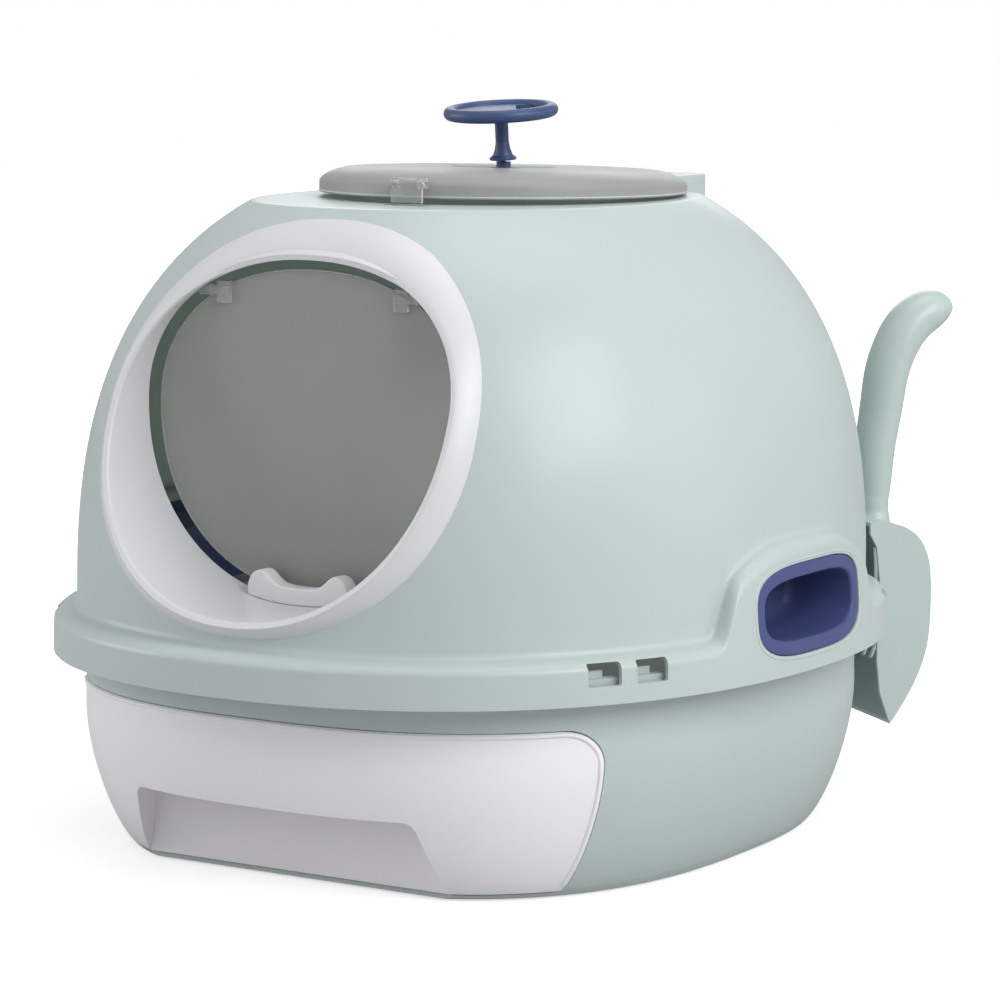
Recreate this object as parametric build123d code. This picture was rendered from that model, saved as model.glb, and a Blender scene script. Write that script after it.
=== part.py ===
from build123d import *
import math
import os

os.makedirs("parts", exist_ok=True)

# Covered litter box: a drawer base, a lift-off dome with a round cat entrance, a hinged
# skylight lid on top and a scoop hung at the rear. All sizes are in millimetres.
# The origin is on the floor under the middle of the base. The entrance looks along -Y.

# Points on each round outline
OVAL_POINTS = 40
LOOP_POINTS = 48

# Base shell
BASE_HALF_X = 201.4
BASE_HALF_Y = 224.7
BASE_POWER = 2.617
BASE_FOOT_SCALE = 0.8812
BASE_CURVE_POWER = 1.4246
BASE_CURVE_TOP = 72.1
BASE_BOTTOM = 1.0
BASE_TOP = 115.0
WALL = 3.0
FLOOR_TOP = 3.6
FLANGE_TOP = 119.0
FLANGE_HALF_X = 222.3
FLANGE_HALF_Y = 250.3
BEAD_HALF_X = 150.0
BEAD_HALF_Y = 165.0
BEAD_WIDTH = 4.0
FOOT_RADIUS = 11.0
FOOT_X = 105.0
FOOT_Y = 120.0
FOOT_RECESS = 1.2

# Drawer
BAY_PLANE_Y = -145.5
BAY_TOP = 96.6
BAY_CORNER = 20.0
DRAWER_GAP = 0.6
PULL_HALF_TOP = 92.0
PULL_HALF_BOTTOM = 103.0
PULL_TOP = 46.5
PULL_BACK_Y = -185.0
TRAY_FLOOR = 4.2
TRAY_TOP = 86.0
TRAY_REAR_TOP = 188.0
TRAY_REAR_BOTTOM = 176.0
TRAY_HALF_TOP = 160.0
TRAY_HALF_BOTTOM = 136.0
TRAY_FRONT_Y = -143.0
DECK_BOTTOM = 89.0
DECK_HALF_X = 150.0
DECK_REAR_Y = 176.0
RAIL_X = 139.4
RAIL_TOP = 12.0
TRAY_WALL = 2.4

# Dome with its overhanging band
DOME_HALF_X = 215.3
DOME_HALF_Y = 240.0
DOME_POWER = 2.23
DOME_WIDEST_Z = 142.0
DOME_RISE = 250.8
DOME_PROFILE_POWER = 2.5145
DOME_TOP = 366.5
DOME_TOP_SHIFT = 3.0
DOME_LEG_BOTTOM = 119.3
BAND_HALF_X = 227.7
BAND_HALF_Y = 255.8
BAND_POWER = 2.225
BAND_BOTTOM = 112.6
BAND_SHOULDER = 130.5
LEDGE_TOP = 137.2
SLOT_X = 189.1
SLOT_Y = 149.2
SLOT_Z = 128.6
SLOT_NORMAL = 29.0
SLOT_PITCH = 29.0
SLOT_WIDTH = 19.5
SLOT_HEIGHT = 12.4
STEP_RISE = 3.2
TAB_TOP = 129.5
CHANNEL_TOP = 130.5
HUMP_INNER_X = 150.0
HUMP_REACH = 100.0

# Side handles
HANDLE_Y = -4.0
HANDLE_Z = 148.0
HANDLE_HALF_Y = 58.5
HANDLE_HALF_Z = 25.2
HANDLE_POWER = 3.38
GRIP_HALF_Y = 50.4
GRIP_HALF_Z = 17.1
GRIP_WALL = 2.5
GRIP_BOTTOM_X = 178.0
GRIP_RIM_X = 180.0
HANDLE_GAP = 0.3
HANDLE_SETBACK = 0.4
HANDLE_RIM_DEPTH = 3.3

# Cat entrance
ENTRANCE_Z = 257.0
BORE_HALF_X = 108.8
BORE_UP = 83.6
BORE_DOWN = 105.0
BORE_POWER = 2.15
CREST_Y = -201.6
CREST_TILT = 22.2
CREST_HALF_X = 111.4
CREST_UP = 97.0
CREST_DOWN = 116.0
SEAT_DEPTH = 12.5
SEAT_HALF_X = 121.5
SEAT_REACH_UP = 118.0
COLLAR_DEPTH = 28.0
COLLAR_BACK_SHRINK = 2.5
COLLAR_FOOT_Z = 143.0
SEAT_UP = 8.0
SLEEVE_BACK_Y = -171.0
SLEEVE_WALL = 3.0

# Door
DOOR_AXIS_Y = -166.0
DOOR_AXIS_Z = 321.5
DOOR_Z = 256.2
DOOR_HALF_X = 104.2
DOOR_UP = 79.1
DOOR_DOWN = 100.7
DOOR_POWER = 2.17
DOOR_THICKNESS = 2.4
PIVOT_PIN_RADIUS = 2.0
PIVOT_INNER_X = 54.0
PIVOT_BOSS_X = 76.5
PIVOT_BOSS_WIDTH = 11.0
STOP_FRONT_Y = -183.0
STOP_DEPTH = 11.0

# Skylight lid, its hinge and clip
OPENING_RADIUS = 84.0
OPENING_Y = 12.0
LID_RADIUS = 107.6
LID_Y = 28.9
LID_Z = 370.3
LID_TILT = -1.6
LID_RIM = 3.3
LID_RISE = 9.5
LID_FLAT_RADIUS = 75.0
LID_WALL = 2.4
HINGE_Y = 147.5
HINGE_Z = 371.0
HINGE_HALF_WIDTH = 65.0
HINGE_BACK_Y = 162.0
HINGE_TOP = 375.5
HINGE_FRONT_Y = 100.0
HINGE_ROOT_Z = 330.0
HINGE_ARM_X = 38.0
HINGE_ARM_WIDTH = 11.0
HINGE_PIN_RADIUS = 2.2
KNUCKLE_RADIUS = 4.3
CLIP_X = 8.3
CLIP_WIDTH = 20.6
CLIP_AXIS_Y = -81.4
CLIP_AXIS_Z = 378.6
CLIP_PIN_RADIUS = 1.2
CLIP_PLATE = 1.8
CLIP_CHEEK = 3.4
CLIP_NOTCH_HALF = 14.0
CLIP_NOTCH_FRONT = -91.5
CLIP_NOTCH_BACK = -77.0

# Ring knob
KNOB_RING_RADIUS = 29.7
KNOB_TUBE_RADIUS = 3.8
KNOB_RING_RISE = 29.8
KNOB_LIFT = 2.6
KNOB_LEAN = 5.0
KNOB_DISC_RADIUS = 30.0
KNOB_DISC_HEIGHT = 1.4
KNOB_NECK_RADIUS = 4.2
KNOB_STEM_RADIUS = 3.9
KNOB_SHANK_RADIUS = 1.5
KNOB_SHANK_GAP = 0.45
KNOB_SHANK_LENGTH = 14.4
KNOB_NUT_HEIGHT = 4.6
KNOB_NUT_RADIUS = 7.5
KNOB_WEB = 2.6

# Scoop, drawn in its own upright frame: X outward from the box, Z up
SCOOP_X = 150.7
SCOOP_Y = 229.9
SCOOP_AZIMUTH = 52.0
SCOOP_HALF_WIDTH = 42.0
SCOOP_WALL = 2.2
SCOOP_SLOTS = 7
SCOOP_SLOT_HALF = 2.3
SCOOP_HOOK_HALF = 10.0
SCOOP_HOLE_HALF = 12.5
SCOOP_HOLE_BOTTOM = 129.5
SCOOP_HOLE_TOP = 150.0


def oval_points(half_x, half_y, power, z, shift_y=0.0):
    """Points of a superellipse at height z, evenly spread in angle."""
    points = []
    for index in range(OVAL_POINTS):
        angle = 2 * math.pi * index / OVAL_POINTS
        c = abs(math.cos(angle) / half_x) ** power
        s = abs(math.sin(angle) / half_y) ** power
        radius = (c + s) ** (-1 / power)
        points.append((radius * math.cos(angle), shift_y + radius * math.sin(angle), z))
    return points


def oval_wire(half_x, half_y, power, z, shift_y=0.0):
    """Closed superellipse outline at height z."""
    return Wire([Edge.make_spline(oval_points(half_x, half_y, power, z, shift_y), periodic=True)])


def oval_prism(half_x, half_y, power, bottom, top):
    """Upright solid with a superellipse outline."""
    return extrude(Face(oval_wire(half_x, half_y, power, bottom)), amount=top - bottom, dir=(0, 0, 1))


def steps(low, high, count):
    """Evenly spaced values from low to high, both included."""
    return [low + (high - low) * index / (count - 1) for index in range(count)]


def box(x0, x1, y0, y1, z0, z1):
    """Box between two corners."""
    middle = ((x0 + x1) / 2, (y0 + y1) / 2, (z0 + z1) / 2)
    return Pos(*middle) * Box(abs(x1 - x0), abs(y1 - y0), abs(z1 - z0))


def base_scale(z):
    """Width of the base at height z, as a share of its full width."""
    left = max(0.0, 1 - z / BASE_CURVE_TOP)
    bulge = (1 - left ** BASE_CURVE_POWER) ** (1 / BASE_CURVE_POWER)
    return BASE_FOOT_SCALE + (1 - BASE_FOOT_SCALE) * bulge


def base_body(inset, bottom, top):
    """Solid of the base's outer form, made smaller by inset."""
    curve = [bottom + (BASE_CURVE_TOP - bottom) * step ** 1.6 for step in steps(0, 1, 7)]
    heights = curve + [(BASE_CURVE_TOP + top) / 2, top]
    wires = []
    for z in heights:
        scale = base_scale(z)
        wires.append(oval_wire(BASE_HALF_X * scale - inset, BASE_HALF_Y * scale - inset, BASE_POWER, z))
    return Solid.make_loft(wires)


def dome_scale(z, rise):
    """Width of the dome at height z, as a share of its full width."""
    share = min(1.0, abs(z - DOME_WIDEST_Z) / rise)
    return (1 - share ** DOME_PROFILE_POWER) ** (1 / DOME_PROFILE_POWER)


def dome_body(inset, bottom, top):
    """Solid of the dome's outer form, made smaller by inset."""
    wires = []
    for step in steps(0, 1, 10):
        z = bottom + (top - bottom) * math.sin(step * math.pi / 2) ** 0.9
        scale = dome_scale(z, DOME_RISE - inset)
        shift = DOME_TOP_SHIFT * max(0.0, z - DOME_WIDEST_Z) / (DOME_TOP - DOME_WIDEST_Z)
        half_x = (DOME_HALF_X - inset) * scale
        half_y = (DOME_HALF_Y - inset) * scale
        wires.append(oval_wire(half_x, half_y, DOME_POWER, z, shift))
    return Solid.make_loft(wires)


def band_body(inset, bottom, top):
    """Solid of the band's outer form, with straight sides, made smaller by inset."""
    return oval_prism(BAND_HALF_X - inset, BAND_HALF_Y - inset, BAND_POWER, bottom, top)


def band_shoulder():
    """Rounded ledge that leads from the band back to the dome wall."""
    rows = ((BAND_SHOULDER, 0.0), (134.4, 2.6), (136.3, 7.4), (LEDGE_TOP, 13.2))
    solids = []
    for (z0, in0), (z1, in1) in zip(rows, rows[1:]):
        low = oval_wire(BAND_HALF_X - in0, BAND_HALF_Y - in0, BAND_POWER, z0)
        high = oval_wire(BAND_HALF_X - in1, BAND_HALF_Y - in1, BAND_POWER, z1)
        solids.append(Solid.make_loft([low, high], ruled=True))
    return solids


def side_body(inset):
    """Form of the handle humps' outer faces, which lean in towards the dome."""
    rows = ((112.0, 0.3), (130.0, 0.9), (148.0, 2.1), (173.0, 3.8), (189.0, 5.4), (205.0, 8.0))
    wires = []
    for z, lean in rows:
        reach = lean + inset
        wires.append(oval_wire(BAND_HALF_X - reach, BAND_HALF_Y - reach, BAND_POWER, z))
    return Solid.make_loft(wires)


def hump_solid(side):
    """Swelling of the band around one handle."""
    half = [(0, 183.5), (34, 182), (58, 175.5), (74, 164), (85, 151), (93, 143), (104, 138.5), (122, 136)]
    foot = LEDGE_TOP - 2.6
    points = [(0, HANDLE_Y - y, z) for y, z in reversed(half[1:])] + [(0, HANDLE_Y + y, z) for y, z in half]
    top = Spline(*points, tangents=[(0, 1, 0), (0, 1, 0)])
    sides = Polyline(points[-1], (0, points[-1][1], foot), (0, points[0][1], foot), points[0])
    face = make_face(Wire([*top.edges(), *sides.edges()]))
    prism = Pos(side * HUMP_INNER_X, 0, 0) * extrude(face, amount=HUMP_REACH, dir=(side, 0, 0))
    return prism & side_body(0.0)


def side_slab(half_y, half_z, x0, x1):
    """Block with a squared oval outline through the side of the box at a handle."""
    points = []
    for index in range(OVAL_POINTS):
        angle = 2 * math.pi * index / OVAL_POINTS
        c = abs(math.cos(angle) / half_y) ** HANDLE_POWER
        s = abs(math.sin(angle) / half_z) ** HANDLE_POWER
        radius = (c + s) ** (-1 / HANDLE_POWER)
        points.append((x0, HANDLE_Y + radius * math.cos(angle), HANDLE_Z + radius * math.sin(angle)))
    face = Face(Wire([Edge.make_spline(points, periodic=True)]))
    return extrude(face, amount=abs(x1 - x0), dir=(math.copysign(1, x1 - x0), 0, 0))


def slot_frames():
    """Planes on the band at the middle of each slot, X along the band and Z outward."""
    frames = []
    for side in (1, -1):
        for end in (1, -1):
            angle = math.radians(SLOT_NORMAL)
            outward = (side * math.cos(angle), end * math.sin(angle), 0)
            along = (-outward[1], outward[0], 0)
            for offset in (-SLOT_PITCH / 2, SLOT_PITCH / 2):
                x = side * SLOT_X + along[0] * offset
                y = end * SLOT_Y + along[1] * offset
                frames.append(Plane((x, y, SLOT_Z), x_dir=along, z_dir=outward))
    return frames


def entrance_loop(grow, y_front, y_back, more_up=0.0):
    """Prism along Y with the entrance's outline, grown by a margin and by more at the top."""
    points = []
    for index in range(LOOP_POINTS):
        angle = 2 * math.pi * index / LOOP_POINTS
        c = math.cos(angle)
        s = math.sin(angle)
        half_z = BORE_UP + more_up if s > 0 else BORE_DOWN
        power = 2 / BORE_POWER
        x = math.copysign(abs(c) ** power, c) * (BORE_HALF_X + grow)
        z = ENTRANCE_Z + math.copysign(abs(s) ** power, s) * (half_z + grow)
        points.append((x, y_front, z))
    wire = Wire([Edge.make_spline(points, periodic=True)])
    return extrude(Face(wire), amount=y_back - y_front, dir=(0, 1, 0))


def egg_wire(plane, half_x, up, down, power):
    """Closed egg outline on a plane, with its own reach upward and downward."""
    points = []
    for index in range(LOOP_POINTS):
        angle = 2 * math.pi * index / LOOP_POINTS
        c = math.cos(angle)
        s = math.sin(angle)
        reach = up if s > 0 else down
        x = math.copysign(abs(c) ** (2 / power), c) * half_x
        y = math.copysign(abs(s) ** (2 / power), s) * reach
        points.append(plane.from_local_coords((x, y, 0)))
    return Wire([Edge.make_spline(points, periodic=True)])


def crest_plane(depth):
    """Plane of the collar's crest, moved inward by depth."""
    tilt = math.radians(CREST_TILT)
    inward = (0, math.cos(tilt), -math.sin(tilt))
    origin = (0, CREST_Y + inward[1] * depth, ENTRANCE_Z + inward[2] * depth)
    return Plane(origin, x_dir=(1, 0, 0), z_dir=(0, -inward[1], -inward[2]))


def bay_form(gap):
    """Room that the drawer's front takes out of the base, less a gap."""
    x_half = 260.0
    back = BAY_PLANE_Y - gap
    top = BAY_TOP - gap
    sketch = Pos((back - 300) / 2, (top - 60) / 2) * Rectangle(back + 300, top + 60)
    corner = sketch.vertices().sort_by(Axis.X)[-2:].sort_by(Axis.Y)[-1]
    sketch = fillet(corner, BAY_CORNER)
    face = Plane((-x_half, 0, 0), x_dir=(0, 1, 0), z_dir=(1, 0, 0)) * sketch
    return extrude(face, amount=2 * x_half)


def pull_form(grow, back_y):
    """Form of the finger pull under the drawer's front."""
    sketch = Polygon(
        (-PULL_HALF_BOTTOM - grow, -5), (PULL_HALF_BOTTOM + grow, -5),
        (PULL_HALF_TOP + grow, PULL_TOP + grow), (-PULL_HALF_TOP - grow, PULL_TOP + grow),
        align=None)
    tops = sketch.vertices().sort_by(Axis.Y)[-2:]
    sketch = fillet(tops, 7 + grow)
    face = Plane((0, back_y, 0), x_dir=(1, 0, 0), z_dir=(0, -1, 0)) * sketch
    return extrude(face, amount=110)


def base_tub():
    """Lower shell with floor, drawer bay, rails, deck, flange, slot steps and foot recesses."""
    tub = base_body(0, BASE_BOTTOM, BASE_TOP) - base_body(WALL, FLOOR_TOP, BASE_TOP + 1)
    tub -= bay_form(0) & box(-260, 260, -300, BAY_PLANE_Y, FLOOR_TOP, BAY_TOP)
    tub -= pull_form(DRAWER_GAP, PULL_BACK_Y + 1.5) & box(-120, 120, -300, 0, 0, FLOOR_TOP)
    tub += [base_deck(), base_flange(), base_bead()]
    for side in (-1, 1):
        tub += box(side * RAIL_X, side * (RAIL_X + WALL), -120, 150, FLOOR_TOP - 0.5, RAIL_TOP)
    return tub + slot_tabs() - foot_recesses()


def base_deck():
    """Ledge round the inside of the base, over the edges of the drawer's tray."""
    half_x = BASE_HALF_X - WALL + 0.5
    half_y = BASE_HALF_Y - WALL + 0.5
    deck = oval_prism(half_x, half_y, BASE_POWER, DECK_BOTTOM, DECK_BOTTOM + WALL)
    deck -= box(-DECK_HALF_X, DECK_HALF_X, -400, DECK_REAR_Y, 0, BASE_TOP)
    return deck - box(-260, 260, -400, BAY_PLANE_Y + WALL, 0, BASE_TOP)


def base_bead():
    """Narrow raised ring under the floor, on which the box stands."""
    bead = oval_prism(BEAD_HALF_X, BEAD_HALF_Y, BASE_POWER, 0, BASE_BOTTOM + 1)
    half_x = BEAD_HALF_X - BEAD_WIDTH
    half_y = BEAD_HALF_Y - BEAD_WIDTH
    return bead - oval_prism(half_x, half_y, BASE_POWER, -1, BASE_BOTTOM + 2)


def base_flange():
    """Flat rim round the top of the base, on which the dome stands."""
    flange = oval_prism(FLANGE_HALF_X, FLANGE_HALF_Y, BAND_POWER, BASE_TOP - 1, FLANGE_TOP)
    half_x = BASE_HALF_X - WALL / 2
    half_y = BASE_HALF_Y - WALL / 2
    return flange - oval_prism(half_x, half_y, BASE_POWER, BASE_TOP - 2, FLANGE_TOP + 1)


def slot_tabs():
    """Steps and upright tabs on the flange, which stand behind the band's slots."""
    low = FLANGE_TOP - 0.5 - SLOT_Z
    tabs = []
    for frame in slot_frames():
        step_top = STEP_RISE - SLOT_HEIGHT / 2
        tabs.append(local_box(frame, -11, 11, low, step_top, -9.5, -2))
        tabs.append(local_box(frame, -9.5, 3.5, low, TAB_TOP - SLOT_Z, -9.0, -6.6))
    inside = band_body(BAND_HALF_X - FLANGE_HALF_X + 0.6, FLANGE_TOP - 2, SLOT_Z + SLOT_HEIGHT)
    return [tab & inside for tab in tabs]


def local_box(frame, x0, x1, y0, y1, z0, z1):
    """Box between two corners in a frame of its own."""
    return frame * box(x0, x1, y0, y1, z0, z1)


def foot_recesses():
    """Shallow round recesses that hold the rubber feet."""
    spots = [(x, y) for x in (-FOOT_X, FOOT_X) for y in (-FOOT_Y, FOOT_Y)]
    return [Pos(x, y, BASE_BOTTOM) * Cylinder(FOOT_RADIUS + 0.1, 2 * FOOT_RECESS) for x, y in spots]


def base_feet():
    """Four rubber pads under the base."""
    spots = [(x, y) for x in (-FOOT_X, FOOT_X) for y in (-FOOT_Y, FOOT_Y)]
    height = BASE_BOTTOM + FOOT_RECESS - 0.05
    low = (Align.CENTER, Align.CENTER, Align.MIN)
    return Compound(children=[Pos(x, y, 0) * Cylinder(FOOT_RADIUS, height, align=low) for x, y in spots])


def drawer_front():
    """Curved front panel of the drawer, in line with the base, with a finger pull below."""
    bottom = FLOOR_TOP + DRAWER_GAP
    room = bay_form(DRAWER_GAP) & box(-260, 260, -300, 0, bottom, BAY_TOP)
    outer = base_body(0, BASE_BOTTOM, BASE_TOP) & room
    hollow = base_body(WALL, BASE_BOTTOM, BASE_TOP)
    hollow = hollow & box(-260, 260, -300, 0, bottom + WALL, BAY_TOP - DRAWER_GAP - WALL)
    pocket = pull_form(2.5, PULL_BACK_Y + 2.5) & outer
    return (outer - hollow) + pocket - pull_form(0, PULL_BACK_Y)


def tray_outline(z, half_x, rear_y, corner, inset):
    """Plan of the drawer's tray, square in front and round at the rear."""
    front = TRAY_FRONT_Y + inset
    rear = rear_y - inset
    half = half_x - inset
    sketch = Pos(0, (front + rear) / 2) * Rectangle(2 * half, rear - front)
    rears = sketch.vertices().sort_by(Axis.Y)[-2:]
    sketch = fillet(rears, corner - inset)
    fronts = sketch.vertices().sort_by(Axis.Y)[:2]
    sketch = fillet(fronts, 6)
    return Pos(0, 0, z) * sketch


def tray_form(inset, bottom, top):
    """Tapered solid of the tray, made smaller by inset."""
    low = tray_outline(bottom, TRAY_HALF_BOTTOM, TRAY_REAR_BOTTOM, 56, inset)
    high = tray_outline(top, TRAY_HALF_TOP, TRAY_REAR_TOP, 66, inset)
    return loft([low, high])


def drawer_tray():
    """Litter pan behind the drawer's front."""
    return tray_form(0, TRAY_FLOOR, TRAY_TOP) - tray_form(TRAY_WALL, TRAY_FLOOR + TRAY_WALL, TRAY_TOP + 1)


def dome_cover():
    """Dome with its band, ledge, handle humps, slots, top opening and hinge block."""
    cover = dome_body(0, DOME_LEG_BOTTOM, DOME_TOP)
    cover -= dome_body(WALL, DOME_LEG_BOTTOM - 10, DOME_TOP - WALL)
    cover -= entrance_loop(SLEEVE_WALL + 0.3, -300, -120, SEAT_UP)
    cover -= Pos(0, OPENING_Y, DOME_TOP) * Cylinder(OPENING_RADIUS, 30)
    inner = dome_body(WALL / 2, DOME_LEG_BOTTOM - 10, DOME_TOP - WALL / 2)
    cover += outer_band() - inner
    for side in (1, -1):
        cover += hump_solid(side) - inner
    cover += hinge_block() - inner
    for side in (1, -1):
        x0 = side * HUMP_INNER_X
        x1 = side * (HUMP_INNER_X + HUMP_REACH)
        cover -= side_slab(HANDLE_HALF_Y + HANDLE_GAP, HANDLE_HALF_Z + HANDLE_GAP, x0, x1)
    half = (SLOT_WIDTH / 2, SLOT_HEIGHT / 2)
    cover -= [local_box(frame, -half[0], half[0], -half[1], half[1], -8.5, 6) for frame in slot_frames()]
    cover -= hinge_cuts()
    cover -= box(CLIP_X - CLIP_NOTCH_HALF, CLIP_X + CLIP_NOTCH_HALF, CLIP_NOTCH_FRONT, CLIP_NOTCH_BACK,
                 DOME_TOP - 10, DOME_TOP + 5)
    hole = local_box(scoop_plane(), -31, -25, -SCOOP_HOLE_HALF, SCOOP_HOLE_HALF,
                     SCOOP_HOLE_BOTTOM, SCOOP_HOLE_TOP)
    return cover - hole


def outer_band():
    """Band with its ledge, open below for the rim of the base."""
    band = band_body(0, BAND_BOTTOM, BAND_SHOULDER) + band_shoulder()
    return band - band_body(WALL, BAND_BOTTOM - 5, CHANNEL_TOP)


def hinge_block():
    """Raised block behind the lid that carries the lid's pins."""
    depth = HINGE_BACK_Y - HINGE_FRONT_Y
    sketch = Pos(0, HINGE_FRONT_Y + depth / 2) * Rectangle(2 * HINGE_HALF_WIDTH, depth)
    sketch = fillet(sketch.vertices().sort_by(Axis.Y)[-2:], 9)
    block = Pos(0, 0, HINGE_ROOT_Z) * extrude(sketch, amount=HINGE_TOP - HINGE_ROOT_Z)
    return fillet(block.faces().sort_by(Axis.Z)[-1].edges().sort_by(Axis.Y)[1:], 2.0)


def hinge_cuts():
    """Clearances in the hinge block for the lid, its two arms and its pins."""
    low = (Align.CENTER, Align.CENTER, Align.MIN)
    cuts = [Pos(0, LID_Y, DOME_TOP + 0.1) * Cylinder(LID_RADIUS + 2.2, 40, align=low)]
    for side in (-1, 1):
        x = side * HINGE_ARM_X
        half = HINGE_ARM_WIDTH / 2 + 1
        cuts.append(box(x - half, x + half, 110, HINGE_Y + KNUCKLE_RADIUS + 1.4, DOME_TOP - 0.6, 400))
        hole = Pos(x, HINGE_Y, HINGE_Z) * Rot(0, 90, 0) * Cylinder(HINGE_PIN_RADIUS + 0.02, 24)
        cuts.append(hole)
    return cuts


def lid_hinge_pin(side):
    """Pin of one arm of the lid's hinge."""
    place = Pos(side * HINGE_ARM_X, HINGE_Y, HINGE_Z) * Rot(0, 90, 0)
    return place * Cylinder(HINGE_PIN_RADIUS, 23)


def handle_insert(side):
    """Blue grip pocket of one handle: a curved rim and a closed cup behind it."""
    end = side * 260
    rim = side_slab(HANDLE_HALF_Y, HANDLE_HALF_Z, side * GRIP_RIM_X, end) - side_body(HANDLE_RIM_DEPTH)
    cup = side_slab(GRIP_HALF_Y + GRIP_WALL, GRIP_HALF_Z + GRIP_WALL, side * GRIP_BOTTOM_X, end)
    hollow = side_slab(GRIP_HALF_Y, GRIP_HALF_Z, side * (GRIP_BOTTOM_X + GRIP_WALL), side * 270)
    return (rim + cup - hollow) & side_body(HANDLE_SETBACK)


def collar_form():
    """Outer form of the collar: crest, line of contact on the dome, and a part inside it."""
    front = egg_wire(crest_plane(0), CREST_HALF_X, CREST_UP, CREST_DOWN, BORE_POWER)
    middle = egg_wire(crest_plane(SEAT_DEPTH), SEAT_HALF_X, SEAT_REACH_UP, SEAT_HALF_X, BORE_POWER)
    half = SEAT_HALF_X - COLLAR_BACK_SHRINK
    back = egg_wire(crest_plane(COLLAR_DEPTH), half, SEAT_REACH_UP - 4, half, BORE_POWER)
    return Solid.make_loft([front, middle, back], ruled=True)


def entrance_ring():
    """White collar on the dome with the tunnel that leads in to the door."""
    form = collar_form()
    plug = form & entrance_loop(SLEEVE_WALL, -290, -150, SEAT_UP)
    collar = form - dome_body(-0.4, BAND_BOTTOM, DOME_TOP) - box(-300, 300, -300, 0, 0, COLLAR_FOOT_Z)
    sleeve = entrance_loop(SLEEVE_WALL, -290, SLEEVE_BACK_Y) - collar_front()
    ring = collar + sleeve + plug - entrance_loop(0, -300, -100)
    return ring + pivot_bosses() - pivot_holes()


def collar_front():
    """Everything in front of the collar's crest plane."""
    return extrude(crest_plane(0) * Rectangle(400, 500), amount=200)


def pivot_bosses():
    """Blocks behind the tunnel's top that hold the door's pins."""
    bosses = []
    for side in (-1, 1):
        boss = box(side * PIVOT_BOSS_X, side * (PIVOT_BOSS_X + PIVOT_BOSS_WIDTH), SLEEVE_BACK_Y - 1, DOOR_AXIS_Y + 5,
                   DOOR_AXIS_Z - 5, DOOR_AXIS_Z + 5)
        bosses.append(boss & dome_body(WALL + 0.3, 200, DOME_TOP - WALL))
    return bosses


def pivot_holes():
    """Holes in the bosses for the door's pins."""
    place = Pos(0, DOOR_AXIS_Y, DOOR_AXIS_Z) * Rot(0, 90, 0)
    return place * Cylinder(PIVOT_PIN_RADIUS + 0.06, 2 * (PIVOT_BOSS_X + 8))


def door_flap():
    """Smoked see-through door, a flat rounded disc held by two hinge pieces."""
    outline = egg_wire(Plane((0, DOOR_AXIS_Y + 0.2, DOOR_Z), x_dir=(1, 0, 0), z_dir=(0, -1, 0)),
                       DOOR_HALF_X, DOOR_UP, DOOR_DOWN, DOOR_POWER)
    return extrude(Face(outline), amount=DOOR_THICKNESS, dir=(0, 1, 0))


def door_pivot(side):
    """Clear hinge piece: a plate on the door's face, a barrel and a pin into the ring."""
    x0 = side * PIVOT_INNER_X
    x1 = side * (PIVOT_INNER_X + 9)
    plate = box(x0, x1, DOOR_AXIS_Y - 1.8, DOOR_AXIS_Y + 0.1, DOOR_AXIS_Z - 7, DOOR_AXIS_Z + 5)
    along = Rot(0, side * 90, 0)
    low = (Align.CENTER, Align.CENTER, Align.MIN)
    axis = Pos(x0, DOOR_AXIS_Y, DOOR_AXIS_Z) * along
    barrel = axis * Cylinder(3.1, PIVOT_BOSS_X - PIVOT_INNER_X - 1.2, align=low)
    barrel = barrel & box(-200, 200, DOOR_AXIS_Y - 5, DOOR_AXIS_Y + 0.1, 300, 340)
    pin = Pos(side * (PIVOT_BOSS_X - 8), DOOR_AXIS_Y, DOOR_AXIS_Z) * along
    pin = pin * Cylinder(PIVOT_PIN_RADIUS, 14.5, align=low)
    pin = pin - door_flap()
    return plate + barrel + pin


def door_stop():
    """Raised stop on the tunnel's floor with two round horns, which keeps the door from opening outward."""
    half = [(0, 162.0), (16, 162.6), (22, 166), (27, 170.2), (33, 168.5), (36, 163), (36, 150)]
    left = [(-x, z) for x, z in reversed(half[1:])]
    outline = Polyline(*[(x, 0, z) for x, z in left + half], close=True)
    block = Pos(0, STOP_FRONT_Y, 0) * extrude(make_face(outline), amount=STOP_DEPTH, dir=(0, 1, 0))
    return block & entrance_loop(-0.1, -300, -100)


def lid_profile():
    """Half section of the lid: rim, rounded skirt, flat top with a seat for the knob's disc."""
    top = LID_RIM + LID_RISE
    skirt = [(0, 0), (1.8, 2.7), (4.6, 5.1), (8.6, 6.9), (13.6, 8.1), (21.6, 9.0)]
    outer = [(LID_RADIUS - back, LID_RIM + up) for back, up in skirt]
    inner = [(x - LID_WALL * 0.8, z - LID_WALL * 0.7) for x, z in outer]
    points = [
        (LID_RADIUS, 0), *outer, (LID_FLAT_RADIUS, top), (KNOB_DISC_RADIUS + 0.3, top),
        (KNOB_DISC_RADIUS + 0.3, top - KNOB_DISC_HEIGHT), (0, top - KNOB_DISC_HEIGHT),
        (0, top - KNOB_DISC_HEIGHT - LID_WALL), (KNOB_DISC_RADIUS + 2, top - KNOB_DISC_HEIGHT - LID_WALL),
        (LID_FLAT_RADIUS, top - LID_WALL), *reversed(inner), (LID_RADIUS - LID_WALL, 0)]
    return make_face(Polyline(*[(x, 0, z) for x, z in points], close=True))


def lid_frame():
    """Place of the lid, which rises slightly to the front."""
    return Pos(0, LID_Y, LID_Z) * Rot(LID_TILT, 0, 0)


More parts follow.
